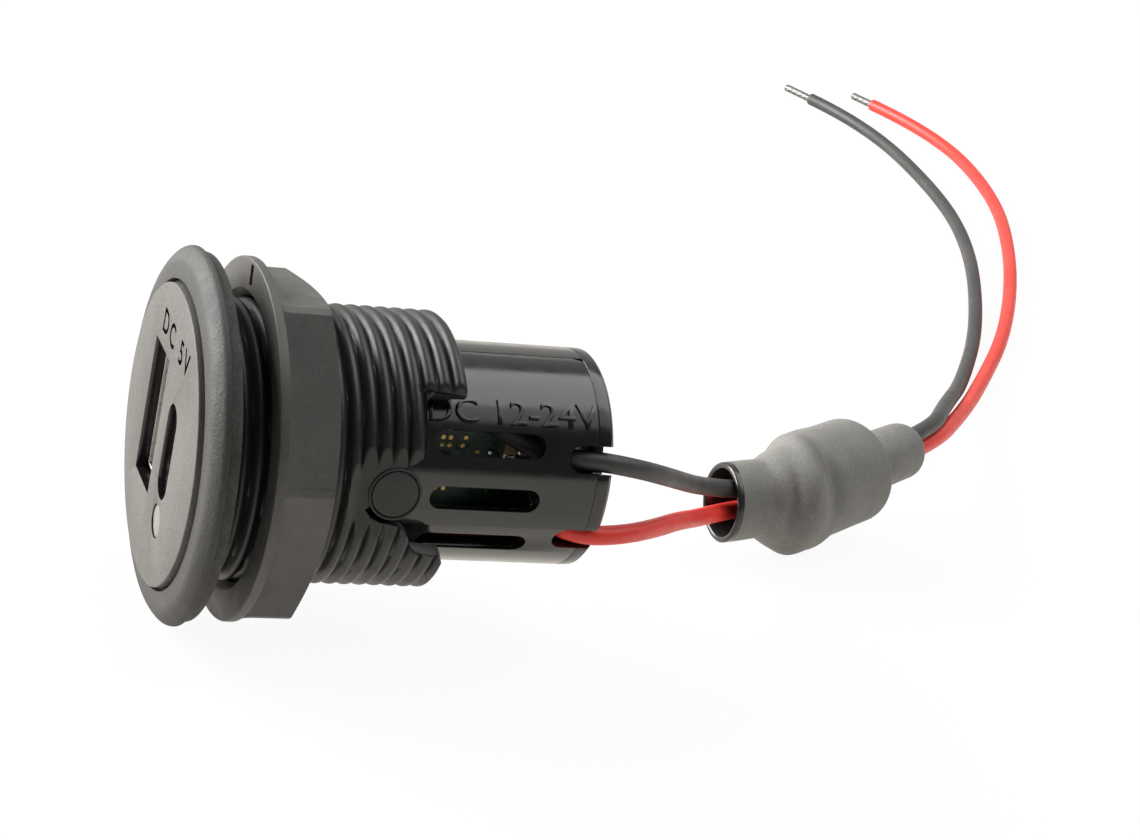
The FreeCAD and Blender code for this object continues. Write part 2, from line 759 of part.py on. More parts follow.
def make_light():
    """Light window in the face with its stem, and the lamp behind it on the board."""
    pipe = node("PartDesign::Body", "light_pipe")
    turned(pipe, [
        (ZERO, face_front + dim.lens_recess),
        (dim.lens_r, face_front + dim.lens_recess),
        (dim.lens_r, front_wall_back),
        (dim.lens_stem_r, front_wall_back),
        (dim.lens_stem_r, dim.lens_stem_end),
        (ZERO, dim.lens_stem_end),
    ])
    pipe.Placement = Placement(Vector(dim.lens_x.value, 0, dim.lens_z.value), Rotation())
    pipe.setExpression("Placement.Base.x", dim.lens_x.text)
    pipe.setExpression("Placement.Base.z", dim.lens_z.text)
    lamp_front = dim.lens_stem_end + dim.led_gap
    half = dim.led_width / 2
    block(node, "status_led", (board_back, lamp_front, dim.lens_z - half),
          (board_back + dim.led_height, lamp_front + dim.led_depth, dim.lens_z + half))


def make_power_parts():
    """Inductor, capacitor can and converter chip on the board's inner side."""
    inductor = node("PartDesign::Body", "power_inductor")
    half = dim.inductor_side / 2
    cut = half - dim.inductor_corner
    square = sketch_on(inductor, "YZ_Plane", "CoreOutline", offset=dim.board_x - dim.inductor_height)
    places = [(-half, -cut), (-cut, -half), (cut, -half), (half, -cut),
              (half, cut), (cut, half), (-cut, half), (-half, cut)]
    middle = usb_a_back + dim.inductor_gap + half
    outline(square, [(middle + u, v) for u, v in places])
    pad(inductor, square, dim.inductor_height, "Core")

    can = node("PartDesign::Body", "bulk_capacitor")
    can_start = middle + half + dim.can_gap
    can_end = can_start + dim.can_length
    groove_r = dim.can_r - dim.can_groove_depth
    groove_end = can_end - dim.can_groove_inset
    groove_start = groove_end - dim.can_groove_width
    turned(can, [
        (ZERO, can_start),
        (dim.can_r, can_start),
        (dim.can_r, groove_start),
        (groove_r, (groove_start + groove_end) / 2),
        (dim.can_r, groove_end),
        (dim.can_r, can_end),
        (ZERO, can_end),
    ])
    can_x = dim.board_x - dim.can_clearance - dim.can_r
    can.Placement = Placement(Vector(can_x.value, 0, dim.can_z.value), Rotation())
    can.setExpression("Placement.Base.x", can_x.text)
    can.setExpression("Placement.Base.z", dim.can_z.text)

    top = dim.board_x - dim.chip_standoff
    half_y = dim.chip_length / 2
    half_z = dim.chip_width / 2
    package = block(doc.addObject, "ChipBody",
                    (top - dim.chip_height, dim.converter_y - half_y, dim.converter_z - half_z),
                    (top, dim.converter_y + half_y, dim.converter_z + half_z))
    leads = []
    for side in (-1, 1):
        for k in range(4):
            lead_y = dim.converter_y + dim.chip_lead_pitch * (k - 1.5)
            inner = dim.converter_z + half_z * side
            outer = inner + dim.chip_lead_reach * side
            low_z, high_z = (inner, outer) if side > 0 else (outer, inner)
            low = (dim.board_x - dim.chip_lead_thick, lead_y - dim.chip_lead_width / 2, low_z)
            high = (dim.board_x, lead_y + dim.chip_lead_width / 2, high_z)
            leads.append(block(doc.addObject, "ChipLead", low, high))
    chip = node("Part::MultiFuse", "converter_chip")
    chip.Shapes = [package] + leads


def make_control_parts():
    """Controller chip and small capacitors on the board's outer side."""
    half = dim.controller_side / 2
    block(node, "controller_chip", (board_back, dim.controller_y - half, -half),
          (board_back + dim.controller_height, dim.controller_y + half, half))
    ceramics = []
    half_y = dim.ceramic_width / 2
    half_z = dim.ceramic_length / 2
    middles = [(as_size(y), as_size(z)) for y, z in FRONT_CERAMICS]
    middles += [(board_end - back, as_size(z)) for back, z in REAR_CERAMICS]
    for y, z in middles:
        low = (board_back, y - half_y, z - half_z)
        high = (board_back + dim.ceramic_height, y + half_y, z + half_z)
        ceramics.append(block(doc.addObject, "Ceramic", low, high))
    group("chip_capacitors", ceramics)


def lead_path(name, route):
    """Straight runs joined by tangent arcs, each as large as its two runs allow."""
    points = [Vector(*place) for place in route]
    edges = []
    radii = []
    start = points[0]
    for before, corner, after in zip(points, points[1:], points[2:]):
        arriving = corner - before
        leaving = after - corner
        half_turn = arriving.getAngle(leaving) / 2
        setback = RUN_SHARE * min(arriving.Length, leaving.Length)
        arriving.normalize()
        leaving.normalize()
        radius = setback / math.tan(half_turn)
        inward = leaving - arriving
        inward.normalize()
        enter = corner - arriving * setback
        leave = corner + leaving * setback
        middle = corner + inward * (radius / math.cos(half_turn) - radius)
        edges.append(Part.LineSegment(start, enter).toShape())
        edges.append(Part.Arc(enter, middle, leave).toShape())
        radii.append(round(radius, 1))
        start = leave
    edges.append(Part.LineSegment(start, points[-1]).toShape())
    print(name, "bend radii", radii)
    return Part.Wire(edges), points


def make_lead(colour, route, strand_length):
    """One lead as a round tube along its route, and its tinned bare end."""
    path, points = lead_path(colour, route)
    way_in = points[1] - points[0]
    section = Part.Wire(Part.makeCircle(dim.lead_r.value, points[0], way_in))
    lead = node("Part::Feature", f"{colour}_wire")
    lead.Shape = path.makePipeShell([section], True, False)
    expected = math.pi * dim.lead_r.value ** 2 * path.Length
    print(colour, "length", round(path.Length, 1), "volume share", round(lead.Shape.Volume / expected, 4))
    way_out = points[-1] - points[-2]
    tip = node("Part::Cylinder", f"{colour}_wire_tip")
    tip.setExpression("Radius", dim.strand_r.text)
    tip.setExpression("Height", strand_length.text)
    tip.Placement = Placement(points[-1], Rotation(Vector(0, 0, 1), way_out))


def make_shrink_sleeve():
    """Heat-shrink sleeve round both leads: a flared neck, then a belly drawn down over a ferrite core."""
    placement = Placement(SHRINK_MOUTH, Rotation(Vector(0, 1, 0), SHRINK_WAY))
    flare_end = dim.shrink_bend_y + dim.shrink_flare_back
    sleeve = node("PartDesign::Body", "shrink_sleeve")
    for name, kind, wall in (
        ("Skin", "PartDesign::Revolution", ZERO),
        ("Bore", "PartDesign::Groove", dim.shrink_wall),
    ):
        to_end = dim.shrink_wall - wall
        turned(sleeve, [
            (ZERO, ZERO),
            (dim.shrink_mouth_r - wall, ZERO),
            (dim.shrink_mouth_r - wall, dim.shrink_neck_end),
            (dim.shrink_flare_r - wall, dim.shrink_bend_y),
            (dim.shrink_waist_r - wall, flare_end),
            (ZERO, flare_end),
        ], f"Neck{name}", kind=kind)
        belly = bent_sketch(sleeve, f"Belly{name}Profile", dim.shrink_bend_y, dim.shrink_bend_angle)
        turned(sleeve, [
            (ZERO, ZERO),
            (dim.shrink_belly_r - wall, ZERO),
            (dim.shrink_belly_r - wall, dim.shrink_belly_end + to_end),
            (dim.shrink_tail_r - wall, dim.shrink_shoulder_end + to_end),
            (dim.shrink_tail_r - wall, dim.shrink_tail_end),
            (ZERO, dim.shrink_tail_end),
        ], f"Belly{name}", belly, kind)
    sleeve.Placement = placement

    core = node("PartDesign::Body", "ferrite_core")
    core_r = dim.shrink_belly_r - dim.shrink_wall - dim.ferrite_clearance
    core_end = dim.shrink_belly_end - dim.ferrite_clearance
    core_start = core_end - dim.ferrite_length
    turned(core, [
        (dim.ferrite_bore_r, core_start),
        (core_r, core_start),
        (core_r, core_end),
        (dim.ferrite_bore_r, core_end),
    ], sketch=bent_sketch(core, "CoreProfile", dim.shrink_bend_y, dim.shrink_bend_angle))
    core.Placement = placement


def check_and_write():
    """Check every object, then write each piece to its own file."""
    doc.recompute()
    for item in doc.Objects:
        if "Invalid" in item.State or "Error" in item.State:
            raise RuntimeError(f"{item.Label}: {item.State}")
    for piece in nodes:
        if piece.Shape.isNull() or not piece.Shape.isValid():
            raise RuntimeError(f"{piece.Label}: no valid shape")
    os.makedirs("parts", exist_ok=True)
    for piece in nodes:
        piece.Shape.exportStep(f"parts/{piece.Label}.step")


make_mounting_sleeve()
make_panel_gasket()
make_flange_nut()
make_insert_housing()
make_rear_cap()
make_main_board()
make_usb_a()
make_usb_c()
make_light()
make_power_parts()
make_control_parts()
make_lead("red", RED_ROUTE, dim.red_strand_length)
make_lead("black", BLACK_ROUTE, dim.black_strand_length)
make_shrink_sleeve()
check_and_write()
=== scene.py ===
"""Dressed model of a panel-mounted charging socket with a threaded sleeve and two free leads.

Sizes in the classes are in millimetres, in the frame of the solids: the socket's axis is Y, its face
looks towards -Y, Z is up, and the origin lies on the axis where the panel seats. Angles round the axis
are in degrees, from +X towards +Z.
"""
import logging
import math
from dataclasses import dataclass, field
from enum import Enum
from typing import Sequence

import bmesh
import bpy
import numpy as np
from mathutils import Matrix, Vector


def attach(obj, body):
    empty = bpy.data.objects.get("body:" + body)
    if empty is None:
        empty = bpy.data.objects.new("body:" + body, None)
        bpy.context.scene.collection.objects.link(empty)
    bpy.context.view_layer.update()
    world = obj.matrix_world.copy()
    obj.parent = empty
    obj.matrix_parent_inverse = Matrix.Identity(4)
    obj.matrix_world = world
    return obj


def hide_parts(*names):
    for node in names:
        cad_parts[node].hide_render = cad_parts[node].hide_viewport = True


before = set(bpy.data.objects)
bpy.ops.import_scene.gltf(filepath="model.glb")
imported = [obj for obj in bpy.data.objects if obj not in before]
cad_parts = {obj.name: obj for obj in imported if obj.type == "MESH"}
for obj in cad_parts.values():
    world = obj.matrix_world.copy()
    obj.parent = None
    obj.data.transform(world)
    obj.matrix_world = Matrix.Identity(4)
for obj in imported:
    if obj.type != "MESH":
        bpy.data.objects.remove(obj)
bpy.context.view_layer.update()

MM = 0.001
SHARP = 35.0
WELD = 2e-6
CAPITAL_SHARE = 0.7
Colour = tuple[float, float, float]
Corner = tuple[float, ...]
Span = tuple[float, float]
Point = tuple[float, float, float]
FULL: Span = (0.0, 1.0)
NOISE_SPAN: Span = (0.3, 0.7)
RANGE_ENDS = ("From Min", "From Max", "To Min", "To Max")

log = logging.getLogger("socket")


class Body(Enum):
    """Rigid bodies that pieces ride on."""

    SOCKET = "root"
    NUT = "nut"


class Slot(Enum):
    """Material slots of the record, by name; each lead holds one, and no piece here is given one."""

    SLEEVE = "sleeve_plastic"
    NUT = "nut_plastic"
    HOUSING = "housing_plastic"
    GASKET = "gasket_rubber"
    STEEL = "shell_steel"
    GOLD = "contact_gold"
    WINDOW = "window_milky"
    CORE = "core_grey"
    LEAD_RED = "lead_red"
    LEAD_BLACK = "lead_black"
    TIN = "tinned_copper"
    SHRINK = "shrink_black"


class NodeSheet:
    """Node tree of one material, with the few steps that the finishes share."""

    def __init__(self, name: str) -> None:
        """Start a material whose patterns sit on object coordinates.

        Args:
            name: Name of the material.
        """
        self.material = bpy.data.materials.new(name)
        self.material.use_nodes = True
        self.tree = self.material.node_tree
        self.shader = self.tree.nodes["Principled BSDF"]
        self.place = self.add("ShaderNodeTexCoord").outputs["Object"]

    def add(self, kind: str) -> bpy.types.Node:
        """A new node of that kind."""
        return self.tree.nodes.new(kind)

    def link(self, source: bpy.types.NodeSocket, target: bpy.types.NodeSocket) -> None:
        """Join two sockets."""
        self.tree.links.new(source, target)

    def noise(
        self, size: float, detail: float = 2.0, stretch: Point = (1.0, 1.0, 1.0)
    ) -> bpy.types.NodeSocket:
        """Cloudy pattern.

        Args:
            size: Size of its clouds in millimetres.
            detail: Number of finer octaves.
            stretch: How much denser the pattern is along each axis.

        Returns:
            Socket with values about 0.5.
        """
        mapping = self.add("ShaderNodeMapping")
        mapping.inputs["Scale"].default_value = stretch
        self.link(self.place, mapping.inputs["Vector"])
        node = self.add("ShaderNodeTexNoise")
        node.inputs["Scale"].default_value = 1.0 / (size * MM)
        node.inputs["Detail"].default_value = detail
        self.link(mapping.outputs["Vector"], node.inputs["Vector"])
        return node.outputs["Fac"]

    def spread(self, value: bpy.types.NodeSocket, source: Span, target: Span) -> bpy.types.NodeSocket:
        """Value carried from one span to another, held at its ends.

        Args:
            value: Socket with the value.
            source: Span that it comes from.
            target: Span that it goes to.

        Returns:
            Socket with the new value.
        """
        node = self.add("ShaderNodeMapRange")
        self.link(value, node.inputs["Value"])
        for name, number in zip(RANGE_ENDS, (*source, *target)):
            node.inputs[name].default_value = number
        return node.outputs["Result"]

    def times(self, first: bpy.types.NodeSocket, second: bpy.types.NodeSocket) -> bpy.types.NodeSocket:
        """Product of two values.

        Args:
            first: Socket with one value.
            second: Socket with the other.

        Returns:
            Socket with the product.
        """
        node = self.add("ShaderNodeMath")
        node.operation = "MULTIPLY"
        self.link(first, node.inputs[0])
        self.link(second, node.inputs[1])
        return node.outputs["Value"]

    def blend(
        self,
        share: bpy.types.NodeSocket,
        first: Colour | bpy.types.NodeSocket,
        second: Colour | bpy.types.NodeSocket,
    ) -> bpy.types.NodeSocket:
        """Colour between two others.

        Args:
            share: Share of the second colour.
            first: Colour, or a socket that gives one.
            second: Colour, or a socket that gives one.

        Returns:
            Socket with the mixed colour.
        """
        node = self.add("ShaderNodeMix")
        node.data_type = "RGBA"
        self.link(share, node.inputs[0])
        for socket, colour in ((node.inputs[6], first), (node.inputs[7], second)):
            if isinstance(colour, tuple):
                socket.default_value = (*colour, 1.0)
            else:
                self.link(colour, socket)
        return node.outputs[2]

    def bump(self, height: bpy.types.NodeSocket, depth: float, strength: float = 1.0) -> None:
        """Relief on the shader's normal.

        Args:
            height: Socket with the relief from 0 to 1.
            depth: Height of the relief in millimetres.
            strength: Share of the relief that shows.
        """
        node = self.add("ShaderNodeBump")
        node.inputs["Strength"].default_value = strength
        node.inputs["Distance"].default_value = depth * MM
        self.link(height, node.inputs["Height"])
        self.link(node.outputs["Normal"], self.shader.inputs["Normal"])

    def dust(self, pitch: float, share: float) -> bpy.types.NodeSocket:
        """Sparse specks.

        Args:
            pitch: Distance between the places where a speck may lie, in millimetres.
            share: Share of the places that hold one.

        Returns:
            Socket that is 1 on a speck.
        """
        cells = self.add("ShaderNodeTexVoronoi")
        cells.inputs["Scale"].default_value = 1.0 / (pitch * MM)
        self.link(self.place, cells.inputs["Vector"])
        spot = self.spread(cells.outputs["Distance"], (0.02, 0.06), (1.0, 0.0))
        split = self.add("ShaderNodeSeparateColor")
        self.link(cells.outputs["Color"], split.inputs["Color"])
        chosen = self.spread(split.outputs["Red"], (1.0 - share, 1.01 - share), FULL)
        return self.times(spot, chosen)

    def colour(self, tone: bpy.types.NodeSocket) -> None:
        """Feed the shader's base colour."""
        self.link(tone, self.shader.inputs["Base Color"])

    def gloss(self, pattern: bpy.types.NodeSocket, span: Span) -> None:
        """Feed the shader's roughness from a cloudy pattern."""
        self.link(self.spread(pattern, NOISE_SPAN, span), self.shader.inputs["Roughness"])


@dataclass(frozen=True)
class Finish:
    """Look of a surface, kept as one material."""

    name: str

    def material(self) -> bpy.types.Material:
        """The material, made at its first use.

        Returns:
            The same material each time.
        """
        made = bpy.data.materials.get(self.name)
        if made:
            return made
        sheet = NodeSheet(self.name)
        self.fill(sheet)
        return sheet.material

    def fill(self, sheet: NodeSheet) -> None:
        """Lay the pattern on the sheet's shader; each kind of finish has its own."""
        raise NotImplementedError


@dataclass(frozen=True)
class Moulding(Finish):
    """Moulded or extruded plastic and rubber: cloudy tone, uneven gloss and a fine grain."""

    dark: Colour
    light: Colour
    gloss: Span
    grain: float
    grain_depth: float
    clouds: float = 6.0
    specular: float = 0.5
    dust_share: float = 0.0

    def fill(self, sheet: NodeSheet) -> None:
        """Lay the tone, gloss and grain on the sheet's shader.

        Args:
            sheet: Node sheet of the material.
        """
        grain = sheet.noise(self.grain, 3.0)
        clouds = sheet.noise(self.clouds, 4.0)
        tone = sheet.blend(sheet.spread(clouds, NOISE_SPAN, FULL), self.dark, self.light)
        peaks = sheet.spread(grain, (0.52, 0.72), (0.0, 0.45))
        brighter = tuple(min(1.0, 1.7 * part) for part in self.light)
        tone = sheet.blend(peaks, tone, brighter)
        if self.dust_share:
            tone = sheet.blend(sheet.dust(1.6, self.dust_share), tone, (0.5, 0.49, 0.46))
        sheet.colour(tone)
        uneven = sheet.noise(self.clouds * 0.35, 3.0)
        sheet.gloss(uneven, self.gloss)
        sheet.shader.inputs["Specular IOR Level"].default_value = self.specular
        sheet.bump(grain, self.grain_depth)


@dataclass(frozen=True)
class Plating(Finish):
    """Plated, tinned or drawn metal: faint streaks along Y and a stained tone."""

    bright: Colour
    stained: Colour
    gloss: Span
    streak: float = 0.4

    def fill(self, sheet: NodeSheet) -> None:
        """Lay the streaks, stains and gloss on the sheet's shader.

        Args:
            sheet: Node sheet of the material.
        """
        streaks = sheet.noise(self.streak, 3.0, (1.0, 0.15, 1.0))
        stains = sheet.noise(2.5, 4.0)
        tone = sheet.blend(sheet.spread(stains, (0.35, 0.7), FULL), self.bright, self.stained)
        sheet.colour(tone)
        sheet.gloss(streaks, self.gloss)
        sheet.shader.inputs["Metallic"].default_value = 1.0
        sheet.bump(streaks, 0.01, 0.5)


@dataclass(frozen=True)
class Laminate(Finish):
    """Circuit board: green resist over copper tracks, which show as paler straight lines."""

    resist: Colour
    track: Colour
    track_pitch: float = 1.1

    def fill(self, sheet: NodeSheet) -> None:
        """Lay the tracks and resist on the sheet's shader.

        Args:
            sheet: Node sheet of the material.
        """
        bricks = sheet.add("ShaderNodeTexBrick")
        mapping = sheet.add("ShaderNodeMapping")
        mapping.inputs["Rotation"].default_value = (0.0, math.radians(90), math.radians(90))
        sheet.link(sheet.place, mapping.inputs["Vector"])
        sheet.link(mapping.outputs["Vector"], bricks.inputs["Vector"])
        bricks.inputs["Scale"].default_value = 1.0 / (self.track_pitch * MM)
        bricks.inputs["Mortar Size"].default_value = 0.06
        bricks.inputs["Brick Width"].default_value = 2.4
        bricks.inputs["Row Height"].default_value = 0.7
        clouds = sheet.noise(1.5, 3.0)
        broken = sheet.times(bricks.outputs["Fac"], sheet.spread(clouds, (0.42, 0.5), FULL))
        tone = sheet.blend(broken, self.resist, self.track)
        sheet.colour(tone)
        sheet.gloss(clouds, (0.22, 0.4))
        sheet.bump(broken, 0.03)


@dataclass(frozen=True)
class MilkyWindow(Finish):
    """Pale translucent light window with a faint ripple."""

    core: Colour
    rim: Colour

    def fill(self, sheet: NodeSheet) -> None:
        """Lay the ripple and milky depth on the sheet's shader.

        Args:
            sheet: Node sheet of the material.
        """
        clouds = sheet.noise(1.2, 3.0)
        sheet.colour(sheet.blend(clouds, self.core, self.rim))
        sheet.gloss(clouds, (0.25, 0.4))
        sheet.shader.inputs["Subsurface Weight"].default_value = 0.3
        sheet.shader.inputs["Subsurface Radius"].default_value = (0.4 * MM, 0.45 * MM, 0.5 * MM)
        sheet.bump(clouds, 0.02, 0.4)


FACE_CHARCOAL = Moulding(
    "face_grain", (0.078, 0.074, 0.067), (0.096, 0.091, 0.083), (0.5, 0.62), 0.3, 0.06, dust_share=0.02
)
BEZEL_CHARCOAL = Moulding(
    "bezel_grain", (0.032, 0.0305, 0.0278), (0.041, 0.039, 0.0357), (0.58, 0.7), 0.3, 0.055, dust_share=0.02
)
NUT_CHARCOAL = Moulding(
    "nut_grain", (0.056, 0.0537, 0.0496), (0.072, 0.0689, 0.0636), (0.42, 0.55), 0.2, 0.016, dust_share=0.02
)
BARREL_BLACK = Moulding(
    "thread_black", (0.01, 0.0098, 0.0094), (0.015, 0.0147, 0.014), (0.36, 0.48), 0.3, 0.01, dust_share=0.03
)
HOUSING_BLACK = Moulding(
    "tube_black", (0.0055, 0.0054, 0.0051), (0.008, 0.0078, 0.0074), (0.13, 0.2), 0.4, 0.003, specular=0.7,
    dust_share=0.02,
)
GASKET_RUBBER = Moulding(
    "rubber_grain", (0.026, 0.0255, 0.0238), (0.052, 0.0505, 0.047), (0.6, 0.8), 0.3, 0.09, clouds=2.5
)
SHRINK_GREY = Moulding(
    "shrink_skin", (0.145, 0.141, 0.13), (0.18, 0.175, 0.161), (0.48, 0.6), 0.25, 0.035, clouds=4.0
)
SHRINK_CUT = Moulding(
    "shrink_inside", (0.012, 0.0122, 0.012), (0.02, 0.0202, 0.02), (0.16, 0.26), 0.4, 0.006
)
JACKET_RED = Moulding(
    "jacket_red", (0.72, 0.03, 0.02), (0.8, 0.045, 0.03), (0.4, 0.5), 0.5, 0.006, clouds=9.0
)
JACKET_BLACK = Moulding(
    "jacket_black", (0.028, 0.028, 0.028), (0.045, 0.044, 0.043), (0.45, 0.56), 0.5, 0.006, clouds=9.0
)
TONGUE_BLACK = Moulding("tongue_resin", (0.012, 0.012, 0.012), (0.02, 0.02, 0.02), (0.4, 0.5), 0.3, 0.008)
CHIP_BLACK = Moulding("chip_resin", (0.02, 0.02, 0.021), (0.034, 0.034, 0.035), (0.45, 0.6), 0.15, 0.01)
CERAMIC_BROWN = Moulding(
    "ceramic_body", (0.17, 0.1, 0.055), (0.24, 0.15, 0.09), (0.4, 0.5), 0.12, 0.01, clouds=1.0
)
CORE_GREY = Moulding("core_ferrite", (0.04, 0.04, 0.042), (0.07, 0.07, 0.072), (0.5, 0.65), 0.2, 0.02)
LAMP_WHITE = Moulding("lamp_white", (0.6, 0.6, 0.58), (0.75, 0.75, 0.72), (0.4, 0.5), 0.3, 0.01)
SHELL_STEEL = Plating("steel_plated", (0.6, 0.59, 0.57), (0.42, 0.41, 0.39), (0.22, 0.38))
CONTACT_GOLD = Plating("gold_plated", (0.83, 0.58, 0.22), (0.6, 0.4, 0.14), (0.2, 0.34))
SOLDER_TIN = Plating("solder_tin", (0.75, 0.74, 0.72), (0.55, 0.54, 0.52), (0.2, 0.4))
STRAND_TIN = Plating("strand_tin", (0.23, 0.226, 0.215), (0.18, 0.176, 0.166), (0.46, 0.6))
CAN_ALUMINIUM = Plating("can_drawn", (0.7, 0.7, 0.71), (0.5, 0.5, 0.51), (0.25, 0.4))
# Green resist and copper tracks, both darker than the board's own colours: the board's green plus painted
# shade for the inside of the tube.
BOARD_GREEN_PAINTED_SHADE = Laminate("board_resist_painted_shade", (0.005, 0.036, 0.022), (0.015, 0.08, 0.048))
WINDOW_MILKY = MilkyWindow("lens_milk", (0.17, 0.165, 0.151), (0.22, 0.213, 0.195))


def soften(corners: Sequence[Corner], steps: int = 5) -> np.ndarray:
    """Profile through corners, each rounded by its own set-back.

    A corner C becomes the curve (1-t)(1-t) P + 2t(1-t) C + tt Q, where P and Q lie the set-back away
    from C towards the corners before and after it, and t runs from 0 to 1.

    Args:
        corners: (radius, place) of each corner, with a third number for its set-back.
        steps: Points on each rounded corner.

    Returns:
        Points of the profile, two numbers each.
    """
    table = np.array([(*corner[:2], corner[2] if len(corner) > 2 else 0.0) for corner in corners])
    middle = table[:, :2]
    before = np.roll(middle, 1, axis=0) - middle
    after = np.roll(middle, -1, axis=0) - middle
    before /= np.linalg.norm(before, axis=1, keepdims=True)
    after /= np.linalg.norm(after, axis=1, keepdims=True)
    start = (middle + before * table[:, 2:])[:, None]
    end = (middle + after * table[:, 2:])[:, None]
    t = np.linspace(0.0, 1.0, steps)[None, :, None]
    curve = (1 - t) ** 2 * start + 2 * t * (1 - t) * middle[:, None] + t ** 2 * end
    return curve.reshape(-1, 2)


def round_axis(radius: np.ndarray, y: np.ndarray, angle: np.ndarray) -> np.ndarray:
    """Points (r cos angle, y, r sin angle), with the angle in radians."""
    return np.stack([radius * np.cos(angle), y, radius * np.sin(angle)], axis=-1)


def signed_power(value: np.ndarray, power: float) -> np.ndarray:
    """Size of a value raised to a power, with its sign kept."""
    return np.sign(value) * np.abs(value) ** power


def revolve(profile: np.ndarray, columns: int) -> np.ndarray:
    """Surface of revolution about Y.

    Each profile point is carried round the axis.

    Args:
        profile: Points (r, y).
        columns: Number of steps round the axis.

    Returns:
        Grid of points, one row for each profile point.
    """
    angle = np.linspace(0.0, 2 * np.pi, columns, endpoint=False)
    place = np.broadcast_to(profile[:, 1:], (len(profile), columns))
    return round_axis(profile[:, :1], place, angle)


def turned_frame(degrees: float) -> np.ndarray:
    """Frame at an angle round the axis.

    Args:
        degrees: The angle.

    Returns:
        Rows with the radial way out, the way round and the axis.
    """
    cosine = math.cos(math.radians(degrees))
    sine = math.sin(math.radians(degrees))
    return np.array([[cosine, 0.0, sine], [-sine, 0.0, cosine], [0.0, 1.0, 0.0]])


def stadium(length: float, width: float, steps: int = 12) -> np.ndarray:
    """Outline with round ends.

    Two half circles of half the width, moved apart by the length less the width.

    Args:
        length: Full length, along the first number.
        width: Full width.
        steps: Points on each half circle.

    Returns:
        Points of the closed outline.
    """
    half = np.linspace(-np.pi / 2, np.pi / 2, steps)
    end = np.stack([np.cos(half), np.sin(half)], axis=-1) * width / 2
    reach = np.array([(length - width) / 2, 0.0])
    return np.vstack([end + reach, -end - reach])


def box_outline(length: float, width: float) -> np.ndarray:
    """Corners of a rectangle about its middle."""
    return np.array([(-1, -1), (1, -1), (1, 1), (-1, 1)]) * np.array([length, width]) / 2


def prism(outline: np.ndarray, bottom: float, top: float) -> np.ndarray:
    """Outline carried straight from bottom to top, with each end drawn in to its middle.

    Args:
        outline: Closed outline in two numbers.
        bottom: First height.
        top: Last height.

    Returns:
        Grid of points (height, first number, second number).
    """
    middle = np.broadcast_to(outline.mean(axis=0), outline.shape)
    rows = np.stack([middle, outline, outline, middle])
    height = np.array([bottom, bottom, top, top])[:, None, None]
    return np.concatenate([np.broadcast_to(height, (*rows.shape[:2], 1)), rows], axis=-1)


@dataclass
class Skin:
    """One mesh put together from grids of points, in millimetres."""

    points: list[np.ndarray] = field(default_factory=list)
    quads: list[np.ndarray] = field(default_factory=list)
    finishes: list[np.ndarray] = field(default_factory=list)
    count: int = 0

    def add(
        self, grid: np.ndarray, closed_rows: bool = False, closed_columns: bool = True, finish: int = 0
    ) -> "Skin":
        """Add one grid.

        Args:
            grid: Points as rows by columns by three.
            closed_rows: Whether the last row joins the first.
            closed_columns: Whether the last column joins the first.
            finish: Number of the finish that its faces take, where the piece has several.

        Returns:
            The skin itself.
        """
        rows, columns = grid.shape[:2]
        index = self.count + np.arange(rows * columns).reshape(rows, columns)
        if closed_rows:
            index = np.vstack([index, index[:1]])
        if closed_columns:
            index = np.hstack([index, index[:, :1]])
        corners = (index[:-1, :-1], index[1:, :-1], index[1:, 1:], index[:-1, 1:])
        self.points.append(grid.reshape(-1, 3))
        self.quads.append(np.stack(corners, axis=-1).reshape(-1, 4))
        self.finishes.append(np.full(len(self.quads[-1]), finish, dtype=np.int32))
        self.count += rows * columns
        return self

    def build(self, name: str, sharp: float = SHARP) -> bpy.types.Object:
        """Make the mesh object.

        Args:
            name: Name of the object.
            sharp: Angle in degrees past which an edge stays sharp.

        Returns:
            The object, at the origin, with its points in metres.
        """
        mesh = bpy.data.meshes.new(name)
        mesh.from_pydata(np.vstack(self.points) * MM, [], np.vstack(self.quads).tolist())
        mesh.polygons.foreach_set("material_index", np.concatenate(self.finishes))
        return finish_mesh(name, mesh, sharp)


def stand(name: str, data: bpy.types.ID) -> bpy.types.Object:
    """Put a mesh, curve, lamp or camera in the scene.

    Args:
        name: Name of the object.
        data: What it holds.

    Returns:
        The new object.
    """
    holder = bpy.data.objects.new(name, data)
    bpy.context.scene.collection.objects.link(holder)
    return holder


def shade(mesh: bpy.types.Mesh, sharp: float = SHARP) -> None:
    """Smooth a mesh, apart from edges past an angle in degrees."""
    mesh.shade_smooth()
    mesh.set_sharp_from_angle(angle=math.radians(sharp))


def finish_mesh(name: str, mesh: bpy.types.Mesh, sharp: float = SHARP) -> bpy.types.Object:
    """Weld a mesh, point its faces outwards, shade it by angle and put it in the scene.

    Args:
        name: Name of the object.
        mesh: Mesh in metres.
        sharp: Angle in degrees past which an edge stays sharp.

    Returns:
        The new object.
    """
    work = bmesh.new()
    work.from_mesh(mesh)
    bmesh.ops.remove_doubles(work, verts=work.verts, dist=WELD)
    bmesh.ops.dissolve_degenerate(work, edges=work.edges, dist=WELD / 2)
    bmesh.ops.recalc_face_normals(work, faces=work.faces)
    work.to_mesh(mesh)
    work.free()
    shade(mesh, sharp)
    return stand(name, mesh)


def settle(piece: bpy.types.Object) -> None:
    """Turn a piece's modifiers into its mesh.

    Args:
        piece: Object with modifiers.
    """
    bpy.context.view_layer.update()
    evaluated = piece.evaluated_get(bpy.context.evaluated_depsgraph_get())
    mesh = bpy.data.meshes.new_from_object(evaluated)
    piece.modifiers.clear()
    piece.data = mesh
    shade(mesh)


